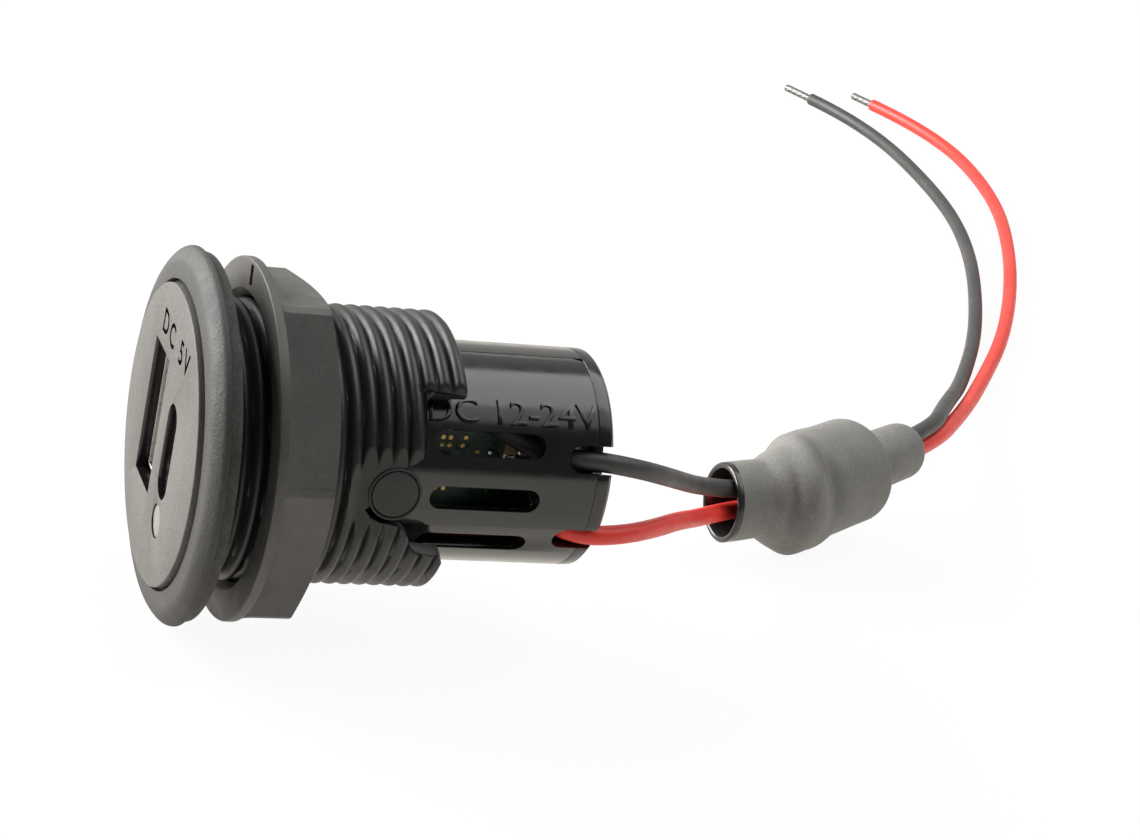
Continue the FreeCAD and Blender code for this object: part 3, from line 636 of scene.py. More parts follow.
def cut(piece: bpy.types.Object, tool: bpy.types.Object) -> None:
    """Take the tool's volume out of the piece, and delete the tool.

    Args:
        piece: Object to cut.
        tool: Closed object with the volume.
    """
    modifier = piece.modifiers.new("cut", "BOOLEAN")
    modifier.operation = "DIFFERENCE"
    modifier.solver = "EXACT"
    modifier.use_self = True
    modifier.object = tool
    settle(piece)
    bpy.data.objects.remove(tool)


def ease_edges(piece: bpy.types.Object, width: float, segments: int = 2, limit: float = 40.0) -> None:
    """Round a piece's sharp edges.

    Args:
        piece: Object to round.
        width: Width of the round in millimetres.
        segments: Faces across it.
        limit: Angle in degrees past which an edge is rounded.
    """
    modifier = piece.modifiers.new("ease", "BEVEL")
    modifier.width = width * MM
    modifier.segments = segments
    modifier.limit_method = "ANGLE"
    modifier.angle_limit = math.radians(limit)
    modifier.miter_outer = "MITER_ARC"
    settle(piece)


def lettering(
    name: str,
    words: str,
    height: float,
    depth: float,
    spacing: float,
    weight: float,
    round_edge: float = 0.0,
) -> bpy.types.Mesh:
    """Raised words as a mesh in millimetres, about their middle, with x along the line and z the depth.

    Args:
        name: Name of the mesh.
        words: What is written.
        height: Height of the letters.
        depth: Full depth of the letters.
        spacing: Room for each letter, as a share of the plain room.
        weight: How far each stroke is widened.
        round_edge: Width of the round on the edges.

    Returns:
        The mesh.
    """
    curve = bpy.data.curves.new(name, "FONT")
    curve.body = words
    curve.size = height / CAPITAL_SHARE
    curve.extrude = depth / 2
    curve.space_character = spacing
    curve.offset = weight
    curve.bevel_depth = round_edge
    curve.bevel_resolution = 1
    curve.align_x = "CENTER"
    curve.align_y = "CENTER"
    curve.resolution_u = 4
    holder = stand(name, curve)
    bpy.context.view_layer.update()
    mesh = bpy.data.meshes.new_from_object(holder.evaluated_get(bpy.context.evaluated_depsgraph_get()))
    bpy.data.objects.remove(holder)
    return mesh


def mesh_points(mesh: bpy.types.Mesh) -> np.ndarray:
    """All points of a mesh.

    Args:
        mesh: The mesh.

    Returns:
        Rows of three.
    """
    flat = np.empty(3 * len(mesh.vertices))
    mesh.vertices.foreach_get("co", flat)
    return flat.reshape(-1, 3)


def set_points(mesh: bpy.types.Mesh, points: np.ndarray) -> None:
    """Move all points of a mesh."""
    mesh.vertices.foreach_set("co", points.ravel())
    mesh.update()


def dress(
    piece: bpy.types.Object,
    finishes: Sequence[Finish],
    nodes: Sequence[str] = (),
    body: Body = Body.SOCKET,
) -> None:
    """Give a piece its finishes, its body and the solids that it stands for.

    Args:
        piece: New piece.
        finishes: Its finishes, in the order of its faces' finish numbers.
        nodes: Solids that it replaces.
        body: Body that it rides on.
    """
    held = piece.data.materials
    for number, finish in enumerate(finishes):
        if number < len(held):
            held[number] = finish.material()
        else:
            held.append(finish.material())
    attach(piece, body.value)
    if nodes:
        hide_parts(*nodes)
    log.info("%s rides on %s", piece.name, body.value)


def paint(node: str, finish: Finish) -> None:
    """Give a solid that stays in view its finish.

    Args:
        node: Name of the solid.
        finish: Its finish.
    """
    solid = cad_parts[node]
    for place in solid.material_slots:
        place.material = finish.material()
    if not solid.material_slots:
        solid.data.materials.append(finish.material())
    log.info("%s keeps its solid", node)


def welded_copy(node: str, name: str, ease: float = 0.0) -> bpy.types.Object:
    """A solid's mesh, welded, with its edges rounded.

    Args:
        node: Name of the solid.
        name: Name of the copy.
        ease: Width of the round on its edges in millimetres.

    Returns:
        The copy.
    """
    piece = finish_mesh(name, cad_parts[node].data.copy())
    if ease:
        ease_edges(piece, ease)
    return piece


@dataclass
class MountingSleeve:
    """Bezel ring and threaded barrel, one moulding, with a flat, a stepped crown end and a round tab."""

    bore_r: float = 11.1
    recess_r: float = 14.75
    bezel_r: float = 18.0
    ring_front: float = -2.9
    web_front: float = -2.2
    back: float = -1.2
    brow_inset: float = 1.35
    brow_drop: float = 0.14
    edge: float = 0.6
    side: float = 0.5
    crest_r: float = 13.5
    depth: float = 0.65
    pitch: float = 1.5
    thread_power: float = 0.8
    crest_y: float = 1.32
    crest_angle: float = 40.0
    end: float = 22.9
    turn: float = 5.0
    thin_r: float = 12.0
    thin_from: float = 13.2
    flat: float = 12.7
    flat_start: float = 12.8
    flat_reach: float = 60.0
    run_out: float = 0.6
    slant_from: float = 48.0
    slant_to: float = 60.0
    slant_y: float = 18.0
    slant_r: float = 12.6
    slant_rise: float = 0.22
    bevel: float = 0.28
    bevel_slope: float = 0.9
    tab_y: float = 16.27
    tab_r: float = 2.6
    tab_raise: float = 0.15
    tab_root: float = 0.05
    groove: tuple[float, ...] = (0.2, 0.3, 0.4)
    groove_depth: float = 0.14
    row_step: float = 0.14
    columns: int = 300
    fine_half: float = 24.0
    fine_columns: int = 60

    CROWN = np.array([
        (-180.0, 18.75), (-147.2, 18.75), (-146.2, 22.9), (-50.0, 22.9), (-29.6, 22.65), (-24.4, 22.0),
        (-22.4, 19.15), (-13.6, 18.2), (-9.8, 17.3), (-8.7, 16.3), (-8.0, 15.2), (-6.2, 14.3), (-2.8, 13.6),
        (-1.0, 14.0), (0.5, 15.5), (15.0, 15.9), (16.3, 16.7), (18.4, 17.8), (21.0, 18.45), (24.6, 18.75),
        (44.0, 18.75), (46.4, 18.95), (48.0, 19.6), (48.5, 22.9),
        (141.5, 22.9), (142.5, 18.75), (180.0, 18.75),
    ])

    def bezel(self) -> np.ndarray:
        """Ring profile, drawn down to its outer edge, turned about the axis.

        Returns:
            Grid of points, closed both ways.
        """
        return revolve(soften([
            (self.bore_r, self.web_front),
            (self.recess_r, self.web_front),
            (self.recess_r, self.ring_front, 0.12),
            (self.bezel_r - self.brow_inset, self.ring_front + self.brow_drop, 0.44),
            (self.bezel_r - self.edge, self.back - self.side - self.edge, 0.42),
            (self.bezel_r, self.back - self.side, 0.36),
            (self.bezel_r, self.back, 0.12),
            (self.bore_r, self.back),
        ], 6), 256)

    def radius(self, angle: np.ndarray, y: np.ndarray, end: np.ndarray) -> np.ndarray:
        """Outer radius of the barrel.

        The thread is the crest radius less the depth times one minus a power of the sine of half the turn,
        where the turns are the place along the axis over the pitch plus the share of a full circle. It is
        held below the flat, which runs out towards the front, below the slant at the upper sector's edge,
        and below a small bevel at the end.

        Args:
            angle: Angle round the axis in degrees.
            y: Place along the axis.
            end: End of the barrel at that angle.

        Returns:
            Radius at each place.
        """
        turns = (y - self.crest_y) / self.pitch + 0.5 + (angle - self.crest_angle) / 360.0
        wave = np.abs(np.sin(np.pi * turns)) ** self.thread_power
        thread = self.crest_r - self.depth * (1.0 - wave)
        off = angle - self.turn
        across = np.cos(np.radians(np.clip(off, -self.flat_reach, self.flat_reach)))
        run_out = self.run_out * np.maximum(0.0, self.flat_start - y)
        near = np.where(np.abs(off) < self.flat_reach, (self.flat + run_out) / across, self.crest_r)
        slanted = (angle > self.slant_from) & (angle <= self.slant_to) & (y > self.slant_y)
        rise = self.slant_rise * (angle - self.slant_from)
        slant = np.where(slanted, self.slant_r + rise, self.crest_r)
        bevel = self.crest_r - self.bevel_slope * np.maximum(0.0, y - end + self.bevel)
        return np.minimum.reduce([thread, near, slant, bevel])

    def barrel(self) -> np.ndarray:
        """Tube from the bezel to the crown.

        Each row is a place along the axis, held at the crown's edge where the crown is shorter, so that the
        rows past it close up. The outer rows run rearwards and the inner rows run back.

        Returns:
            Grid of points, closed both ways.
        """
        even = np.linspace(-180.0, 180.0, self.columns, endpoint=False)
        fine = self.turn + np.linspace(-self.fine_half, self.fine_half, self.fine_columns)
        angle = np.unique(np.concatenate([even, self.CROWN[:-1, 0], fine]))
        end = np.interp(angle, self.CROWN[:, 0], self.CROWN[:, 1])
        out = np.append(np.arange(self.back, self.end, self.row_step), self.end)
        outer_y = np.minimum(out[:, None], end)
        inner_y = np.minimum(np.array([self.end, self.thin_from, self.thin_from, self.back])[:, None], end)
        outer_r = self.radius(angle, outer_y, end)
        inner_r = np.array([self.thin_r, self.thin_r, self.bore_r, self.bore_r])[:, None]
        radius = np.vstack([outer_r, np.broadcast_to(inner_r, inner_y.shape)])
        place = np.vstack([outer_y, inner_y])
        return round_axis(radius, place, np.radians(angle))

    def tab(self) -> np.ndarray:
        """Round tab on the flat: a turned profile with a shallow groove, its axis laid outwards.

        Returns:
            Grid of points from its root to its top.
        """
        top = self.flat + self.tab_raise
        root = self.bore_r + self.tab_root
        outer, middle, inner = (self.tab_r - inset for inset in self.groove)
        profile = soften([
            (0.0, root),
            (self.tab_r, root),
            (self.tab_r, top, 0.1),
            (outer, top, 0.04),
            (middle, top - self.groove_depth),
            (inner, top, 0.04),
            (0.0, top),
        ])
        flat = revolve(profile, 72)
        way = turned_frame(self.turn)
        return flat[..., 1:2] * way[0] + flat[..., 2:] * way[1] + (flat[..., :1] + self.tab_y) * way[2]

    def build(self) -> None:
        """Make the bezel and the barrel."""
        ring = Skin().add(self.bezel(), closed_rows=True).build("bezel_ring")
        dress(ring, [BEZEL_CHARCOAL])
        barrel = Skin().add(self.barrel(), closed_rows=True).add(self.tab()).build("threaded_barrel", 50.0)
        dress(barrel, [BARREL_BLACK], ["mounting_sleeve"])


@dataclass
class PanelGasket:
    """Rubber ring behind the bezel."""

    bore_r: float = 13.7
    outer_r: float = 17.5
    thick: float = 1.2
    waves: tuple[Point, ...] = ((0.02, 5, 0.6), (0.014, 13, 2.0))

    def build(self) -> None:
        """Turn the ring, with an edge that wanders by the sum of its waves, a few hundredths."""
        grid = revolve(soften([
            (self.bore_r, -self.thick),
            (self.outer_r, -self.thick, 0.2),
            (self.outer_r, 0.0, 0.4),
            (self.bore_r, 0.0, 0.2),
        ], 7), 240)
        angle = np.arctan2(grid[..., 2], grid[..., 0])
        wander = sum(height * np.sin(count * angle + start) for height, count, start in self.waves)
        grid[..., 0] += wander * np.cos(angle)
        grid[..., 2] += wander * np.sin(angle)
        ring = Skin().add(grid, closed_rows=True).build("gasket_ring")
        dress(ring, [GASKET_RUBBER], ["panel_gasket"])


@dataclass
class FlangeNut:
    """Hexagon nut with a round flange and a small radial mark on the flange."""

    front: float = 3.45
    rear: float = 9.74
    flange_r: float = 17.4
    flange_back: float = 4.38
    across_flats: float = 30.2
    corner_r: float = 17.2
    turn: float = 9.5
    bore_r: float = 13.65
    lead_in: float = 0.75
    chamfer_r: float = 15.15
    chamfer_slope: float = 3.154
    soft: float = 0.01
    wall_levels: Span = (8.9, 8.95)
    skirt: float = 0.1
    foot: float = 0.05
    bore_bevel: float = 0.4
    corner_half: float = 2.4
    mark_angle: float = 98.6
    mark_r: float = 16.0
    mark: Span = (2.0, 0.9)
    mark_depth: float = 0.5
    sharp: float = 18.0

    def wall(self, angle: np.ndarray, y: np.ndarray) -> np.ndarray:
        """Radius of the spanner faces.

        The smallest of the flat's distance divided by the cosine of the angle to its middle, the corner
        radius and the rear cone, with the change between them eased by a soft minimum.

        Args:
            angle: Angle round the axis in degrees.
            y: Place along the axis.

        Returns:
            Radius at each place.
        """
        off = np.mod(angle - self.turn, 60.0) - 30.0
        flat = self.across_flats / 2 / np.cos(np.radians(off))
        cone = self.chamfer_r + self.chamfer_slope * (self.rear - y)
        stack = np.stack(np.broadcast_arrays(flat, np.full_like(flat, self.corner_r), cone))
        lowest = stack.min(axis=0)
        return lowest - self.soft * np.log(np.exp(-(stack - lowest) / self.soft).sum(axis=0))

    def grid(self) -> np.ndarray:
        """Flange rows, spanner rows and bore rows in one loop round the section.

        Returns:
            Grid of points, closed both ways.
        """
        near = np.linspace(-self.corner_half, self.corner_half, 25)
        fine = (np.arange(6)[:, None] * 60.0 + self.turn + near).ravel() % 360.0
        angle = np.unique(np.concatenate([np.linspace(0.0, 360.0, 300, endpoint=False), fine]))
        flange = soften([
            (self.bore_r + self.lead_in, self.front),
            (self.flange_r, self.front, 0.2),
            (self.flange_r, self.flange_back, 0.12),
            (self.corner_r + self.foot, self.flange_back),
        ])[:-4]
        plain_end, cone_start = self.wall_levels
        plain = np.linspace(self.flange_back, plain_end, 6)
        levels = np.concatenate([plain, np.linspace(cone_start, self.rear, 30)])
        bore = np.array([
            (self.bore_r + self.bore_bevel, self.rear),
            (self.bore_r, self.rear - self.bore_bevel),
            (self.bore_r, self.front + self.lead_in),
        ])
        wall_y = np.broadcast_to(levels[:, None], (len(levels), len(angle)))
        wall_r = self.wall(np.broadcast_to(angle, wall_y.shape), wall_y)
        wall_r[0] += self.skirt
        around = np.ones((1, len(angle)))
        radius = np.vstack([flange[:, :1] * around, wall_r, bore[:, :1] * around])
        place = np.vstack([flange[:, 1:] * around, wall_y, bore[:, 1:] * around])
        return round_axis(radius, place, np.radians(angle))

    def build(self) -> None:
        """Make the nut and cut its mark."""
        nut = Skin().add(self.grid(), closed_rows=True).build("hexagon_nut", self.sharp)
        way = turned_frame(self.mark_angle)
        block = prism(box_outline(*self.mark), self.front - self.mark_depth, self.front + self.mark_depth)
        tool = (block[..., 1:2] + self.mark_r) * way[0] + block[..., 2:] * way[1] + block[..., :1] * way[2]
        cut(nut, Skin().add(tool).build("mark_tool"))
        shade(nut.data, self.sharp)
        dress(nut, [NUT_CHARCOAL], ["flange_nut"], Body.NUT)


@dataclass
class InsertHousing:
    """Face disc with its openings, and the vented tube behind it, one moulding."""

    face_r: float = 14.4
    face_front: float = -3.4
    face_back: float = -2.2
    wall_back: float = -1.0
    tube_r: float = 10.78
    bore_r: float = 9.83
    length: float = 37.0
    port_a: tuple[float, float, float, float] = (-3.8, 0.3, 6.1, 13.9)
    port_c: tuple[float, float, float, float] = (3.8, 0.0, 3.56, 9.6)
    lens: tuple[float, float, float] = (3.8, -7.2, 1.65)
    vent_angles: tuple[float, ...] = (-28.7, 0.0, 28.7, 151.3, 180.0, 208.7)
    vent_start: float = 20.4
    vent_end: float = 31.5
    vent_width: float = 2.4
    notch_angles: tuple[float, ...] = (-23.5, 23.5)
    notch_start: float = 34.0
    notch_width: float = 2.7
    notch_length: float = 8.0
    tool_span: Span = (7.0, 14.0)
    seam_angle: float = 87.0
    seam: Span = (19.0, 0.09)
    seam_y: float = 27.3
    seam_depth: float = 0.25
    gap: tuple[Span, ...] = ((-0.9, -0.05), (0.4, -0.7), (0.4, 0.05))
    gap_y: float = 36.75
    gap_depth: float = 0.5
    ease: float = 0.06
    window_r: float = 1.55
    window_inset: float = 0.02
    window_drop: float = 0.12
    stem_r: float = 1.2
    stem_end: float = 5.0
    rating: str = "DC 5V"
    rating_place: Span = (0.5, 9.6)
    supply: str = "DC 12-24V"
    supply_y: float = 28.2
    supply_angle: float = 45.0
    supply_lift: float = 0.04

    def body(self) -> np.ndarray:
        """Face and tube profile turned about the axis.

        Returns:
            Grid of points from the middle of the face to the middle of its back.
        """
        return revolve(soften([
            (0.0, self.face_front),
            (self.face_r, self.face_front, 0.15),
            (self.face_r, self.face_back, 0.05),
            (self.tube_r, self.face_back),
            (self.tube_r, self.length, 0.12),
            (self.bore_r, self.length),
            (self.bore_r, self.wall_back),
            (0.0, self.wall_back),
        ], 4), 160)

    def port_tools(self) -> Skin:
        """Outlines of both ports and the window, carried through the face.

        Returns:
            Skin of the cutting tools.
        """
        tools = Skin()
        x, z, width, height = self.port_a
        deep = (self.face_front - 1.0, self.wall_back + 1.0)
        for outline, across, up in (
            (box_outline(width, height), x, z),
            (stadium(self.port_c[3], self.port_c[2], 16)[:, ::-1], self.port_c[0], self.port_c[1]),
            (stadium(2 * self.lens[2] + 0.001, 2 * self.lens[2], 20), self.lens[0], self.lens[1]),
        ):
            block = prism(outline, *deep)
            tools.add(np.stack([block[..., 1] + across, block[..., 0], block[..., 2] + up], axis=-1))
        return tools

    def wall_tools(self) -> Skin:
        """Outlines of the vents, the lead notches and the seam, carried outwards through the tube.

        Returns:
            Skin of the cutting tools.
        """
        tools = Skin()
        vent = stadium(self.vent_end - self.vent_start, self.vent_width)
        vent_y = (self.vent_start + self.vent_end) / 2
        notch = stadium(self.notch_length, self.notch_width)
        notch_y = self.notch_start + self.notch_length / 2
        low, high = self.tool_span
        cuts = [(vent, angle, vent_y, low) for angle in self.vent_angles]
        cuts += [(notch, angle, notch_y, low) for angle in self.notch_angles]
        cuts.append((box_outline(*self.seam), self.seam_angle, self.seam_y, self.tube_r - self.seam_depth))
        cuts.append((np.array(self.gap), self.seam_angle, self.gap_y, self.tube_r - self.gap_depth))
        for outline, angle, middle, bottom in cuts:
            way = turned_frame(angle)
            block = prism(outline, bottom, high)
            outwards = block[..., :1] * way[0] + block[..., 2:] * way[1]
            tools.add(outwards + (block[..., 1:2] + middle) * way[2])
        return tools

    def engraving(self) -> bpy.types.Object:
        """Rating as a cutting tool across the top of the face.

        Returns:
            The tool.
        """
        mesh = lettering("rating_tool", self.rating, height=2.3, depth=0.6, spacing=1.35, weight=0.06)
        along, up, out = mesh_points(mesh).T
        x, z = self.rating_place
        set_points(mesh, np.stack([along + x, self.face_front - out, up + z], axis=-1) * MM)
        return finish_mesh("rating_tool", mesh)

    def raised_words(self) -> bpy.types.Object:
        """Supply voltage raised on the tube.

        A point of the flat words at (along, up, out) lies at the tube's radius plus out, turned by up
        divided by that radius, and as far along the axis.

        Returns:
            The words.
        """
        mesh = lettering(
            "supply_words",
            self.supply,
            height=2.45,
            depth=0.16,
            spacing=1.07,
            weight=-0.01,
            round_edge=0.05,
        )
        along, up, out = mesh_points(mesh).T
        angle = math.radians(self.supply_angle) + up / self.tube_r
        radius = self.tube_r + self.supply_lift + out
        set_points(mesh, round_axis(radius, self.supply_y + along, angle) * MM)
        return finish_mesh("supply_words", mesh)

    def window(self) -> np.ndarray:
        """Light window: a shallow dome that falls back with the square of the radius, on a stem.

        Returns:
            Grid of points from the middle of the dome to the end of the stem.
        """
        share = np.linspace(0.0, 1.0, 14)
        front = self.face_front + self.window_inset
        dome = np.stack([self.window_r * share, front + self.window_drop * share ** 2], axis=-1)
        stem = [(self.stem_r, 0.0), (self.stem_r, self.stem_end), (0.0, self.stem_end)]
        grid = revolve(np.vstack([dome, [(self.window_r, 0.0)], stem]), 48)
        return grid + np.array([self.lens[0], 0.0, self.lens[1]])

    def build(self) -> None:
        """Turn the housing, cut it, round its edges and add its window and words."""
        body = self.body()
        face_rows = int(np.argmax(body[:, 0, 1] > self.face_back - 0.1))
        housing = Skin().add(body[:face_rows + 1], finish=1).add(body[face_rows:]).build("face_and_tube")
        dress(housing, [HOUSING_BLACK, FACE_CHARCOAL], ["insert_housing"])
        # The walls cut for the ports and the window, and the engraved rating, take finish 0, the tube's
        # near-black, rather than the face's charcoal: partly the housing's own black plastic, partly
        # painted shade in these recesses.
        cut(housing, self.port_tools().build("port_tools"))
        cut(housing, self.wall_tools().build("wall_tools"))
        ease_edges(housing, self.ease)
        cut(housing, self.engraving())
        dress(self.raised_words(), [HOUSING_BLACK])
        window = Skin().add(self.window()).build("light_window")
        dress(window, [WINDOW_MILKY], ["light_pipe"])


@dataclass
class RearCap:
    """End cap of the tube."""

    ease: float = 0.08

    def build(self) -> None:
        """Weld and round the cap's solid."""
        cap = welded_copy("rear_cap", "end_cap", self.ease)
        dress(cap, [HOUSING_BLACK], ["rear_cap"])


@dataclass
class BoardSet:
    """Circuit board, ports and the parts on the board."""

    face_x: float = 2.1
    via_ring: tuple[Span, ...] = (
        (0.0, 0.01), (0.09, 0.01), (0.1, 0.05), (0.22, 0.05), (0.26, 0.0), (0.26, -0.05),
    )
    vias: tuple[Span, ...] = (
        (23.85, 2.3), (24.6, 2.3), (26.15, 2.35), (23.85, 1.5), (24.6, 1.5), (25.95, 1.5),
        (24.0, -3.2), (24.9, -3.2), (27.6, 0.9), (28.2, -2.6), (29.4, -3.4),
    )
    ceramics: tuple[Span, ...] = (
        (30.6, 1.8), (32.5, -0.6), (24.6, -0.8), (18.6, -2.6), (18.6, 2.6), (9.6, 1.5),
    )
    ceramic: Point = (0.9, 1.25, 2.0)
    cap_end: float = 0.42
    cap_swell: float = 0.02
    cap_power: float = 0.25
    blobs: tuple[tuple[Point, Point, float], ...] = (
        ((0.1, 32.45, 1.5), (0.5, 0.95, 0.75), 0.6),
        ((0.1, 28.9, 1.0), (0.25, 0.35, 0.3), 0.8),
        ((0.1, 29.2, -2.0), (0.3, 0.4, 0.3), 0.8),
    )
    shell_ease: float = 0.05

    def via_rings(self) -> Skin:
        """Gold rings with a sunk middle: one turned profile repeated at each place.

        Returns:
            Skin of all the rings.
        """
        flat = revolve(np.array(self.via_ring), 20)
        ring = np.stack([flat[..., 1], flat[..., 0], flat[..., 2]], axis=-1)
        skin = Skin()
        for y, z in self.vias:
            skin.add(ring + np.array([self.face_x, y, z]))
        return skin

    def pillow(self, middle: Point, half: Point, power: float) -> np.ndarray:
        """Rounded block.

        Each coordinate is a half size times the sine or cosine of the two angles, raised to the power with
        its sign kept.

        Args:
            middle: Middle of the block.
            half: Half sizes.
            power: 1 for an ellipsoid, near 0 for a box.

        Returns:
            Grid of points from pole to pole.
        """
        u = np.linspace(-np.pi / 2, np.pi / 2, 15)[:, None]
        v = np.linspace(0.0, 2 * np.pi, 28, endpoint=False)
        waist = signed_power(np.cos(u), power)
        x = waist * signed_power(np.cos(v), power)
        y = waist * signed_power(np.sin(v), power)
        z = np.broadcast_to(signed_power(np.sin(u), power), x.shape)
        return np.stack([x, y, z], axis=-1) * np.array(half) + np.array(middle)

    def solder(self) -> Skin:
        """Tin ends of the small capacitors, and the solder where the leads join the board.

        Returns:
            Skin of all of them.
        """
        skin = Skin()
        depth, width, length = self.ceramic
        half = tuple(size / 2 + self.cap_swell for size in (depth, width, self.cap_end))
        for y, z in self.ceramics:
            for side in (-1.0, 1.0):
                end = z + side * (length - self.cap_end) / 2
                skin.add(self.pillow((self.face_x + depth / 2, y, end), half, self.cap_power))
        for (x, y, z), size, power in self.blobs:
            skin.add(self.pillow((self.face_x + x, y, z), size, power))
        return skin

    def build(self) -> None:
        """Paint the solids that stay and add the rings, tin ends and rounded shells."""
        for node, finish in (
            ("main_board", BOARD_GREEN_PAINTED_SHADE),
            ("usb_a_tongue", TONGUE_BLACK),
            ("usb_c_tongue", TONGUE_BLACK),
            ("usb_a_contacts", CONTACT_GOLD),
            ("usb_c_contacts", CONTACT_GOLD),
            ("status_led", LAMP_WHITE),
            ("power_inductor", CORE_GREY),
            ("bulk_capacitor", CAN_ALUMINIUM),
            ("converter_chip", CHIP_BLACK),
            ("controller_chip", CHIP_BLACK),
            ("chip_capacitors", CERAMIC_BROWN),
        ):
            paint(node, finish)
        dress(self.via_rings().build("board_vias"), [CONTACT_GOLD])
        dress(self.solder().build("board_solder", 60.0), [SOLDER_TIN])
        for node, name in (("usb_a_shell", "port_shell_a"), ("usb_c_shell", "port_shell_c")):
            dress(welded_copy(node, name, self.shell_ease), [SHELL_STEEL], [node])


class LeadColour(Enum):
    """The two leads."""

    RED = "red"
    BLACK = "black"


@dataclass
class Lead:
    """One lead from the board to its bare end."""

    colour: LeadColour
    route: tuple[Point, ...]
    length: float
    tip_length: float
    jacket: Moulding
    slot: Slot
    diameter: float = 1.95
    strand_r: float = 0.6
    tip_inside: float = 0.6
    tip_round: float = 0.45
    ridges: int = 6
    ridge: float = 0.06
    twist: float = 0.9

    def line(self) -> bpy.types.Object:
        """The jacket: a round section on a smooth line with the route as its control points.

        Returns:
            The curve object.
        """
        curve = bpy.data.curves.new(f"{self.colour.value}_lead", "CURVE")
        curve.dimensions = "3D"
        spline = curve.splines.new("NURBS")
        spline.points.add(len(self.route) - 1)
        points = np.hstack([np.array(self.route) * MM, np.ones((len(self.route), 1))])
        spline.points.foreach_set("co", points.ravel())
        spline.order_u = 3
        spline.use_endpoint_u = True
        spline.resolution_u = 12
        curve.bevel_depth = self.diameter / 2 * MM
        curve.bevel_resolution = 7
        curve.use_fill_caps = True
        return stand(curve.name, curve)

    def tip(self) -> np.ndarray:
        """Tinned strands.

        The radius at (along, angle) is a plain core plus ridges that twist along the tip, and it falls to
        nothing over the last part as the root of what is left.

        Returns:
            Grid of points from the jacket to the end.
        """
        end = np.array(self.route[-1])
        way = end - np.array(self.route[-2])
        way /= np.linalg.norm(way)
        across = np.cross(way, [0.0, 0.0, 1.0])
        across /= np.linalg.norm(across)
        up = np.cross(across, way)
        along = np.linspace(-self.tip_inside, self.tip_length, 60)[:, None]
        angle = np.linspace(0.0, 2 * np.pi, 48, endpoint=False)[None, :]
        ridges = np.abs(np.cos(self.ridges / 2 * (angle - self.twist * along)))
        left = np.clip((self.tip_length - along) / self.tip_round, 0.0, 1.0)
        radius = self.strand_r * (1.0 - self.ridge + self.ridge * ridges) * np.sqrt(left * (2 - left))
        radius[0] = 0.0
        ring = np.cos(angle)[..., None] * across + np.sin(angle)[..., None] * up
        return end + along[..., None] * way + radius[..., None] * ring

    def build(self, on_it: Sequence[bpy.types.Object] = ()) -> None:
        """Args:
            on_it: Other pieces handed to the lead; not used.
        """
        name = self.colour.value
        line = self.line()
        dress(line, [self.jacket], [f"{name}_wire"])
        tip = Skin().add(self.tip()).build(f"{name}_strands", 60.0)
        dress(tip, [STRAND_TIN], [f"{name}_wire_tip"])


@dataclass(frozen=True)
class Dent:
    """Soft dent in the sleeve, or a swelling where its depth is below nothing; angles are in degrees."""

    along: float
    turn: float
    reach: float
    width: float
    depth: float

    def depth_at(self, s: np.ndarray, angle: np.ndarray) -> np.ndarray:
        """Depth at each place: a bell in the distance along times a bell in the angle."""
        off = np.degrees(np.angle(np.exp(1j * (angle - math.radians(self.turn)))))
        return self.depth * np.exp(-(((s - self.along) / self.reach) ** 2) - (off / self.width) ** 2)


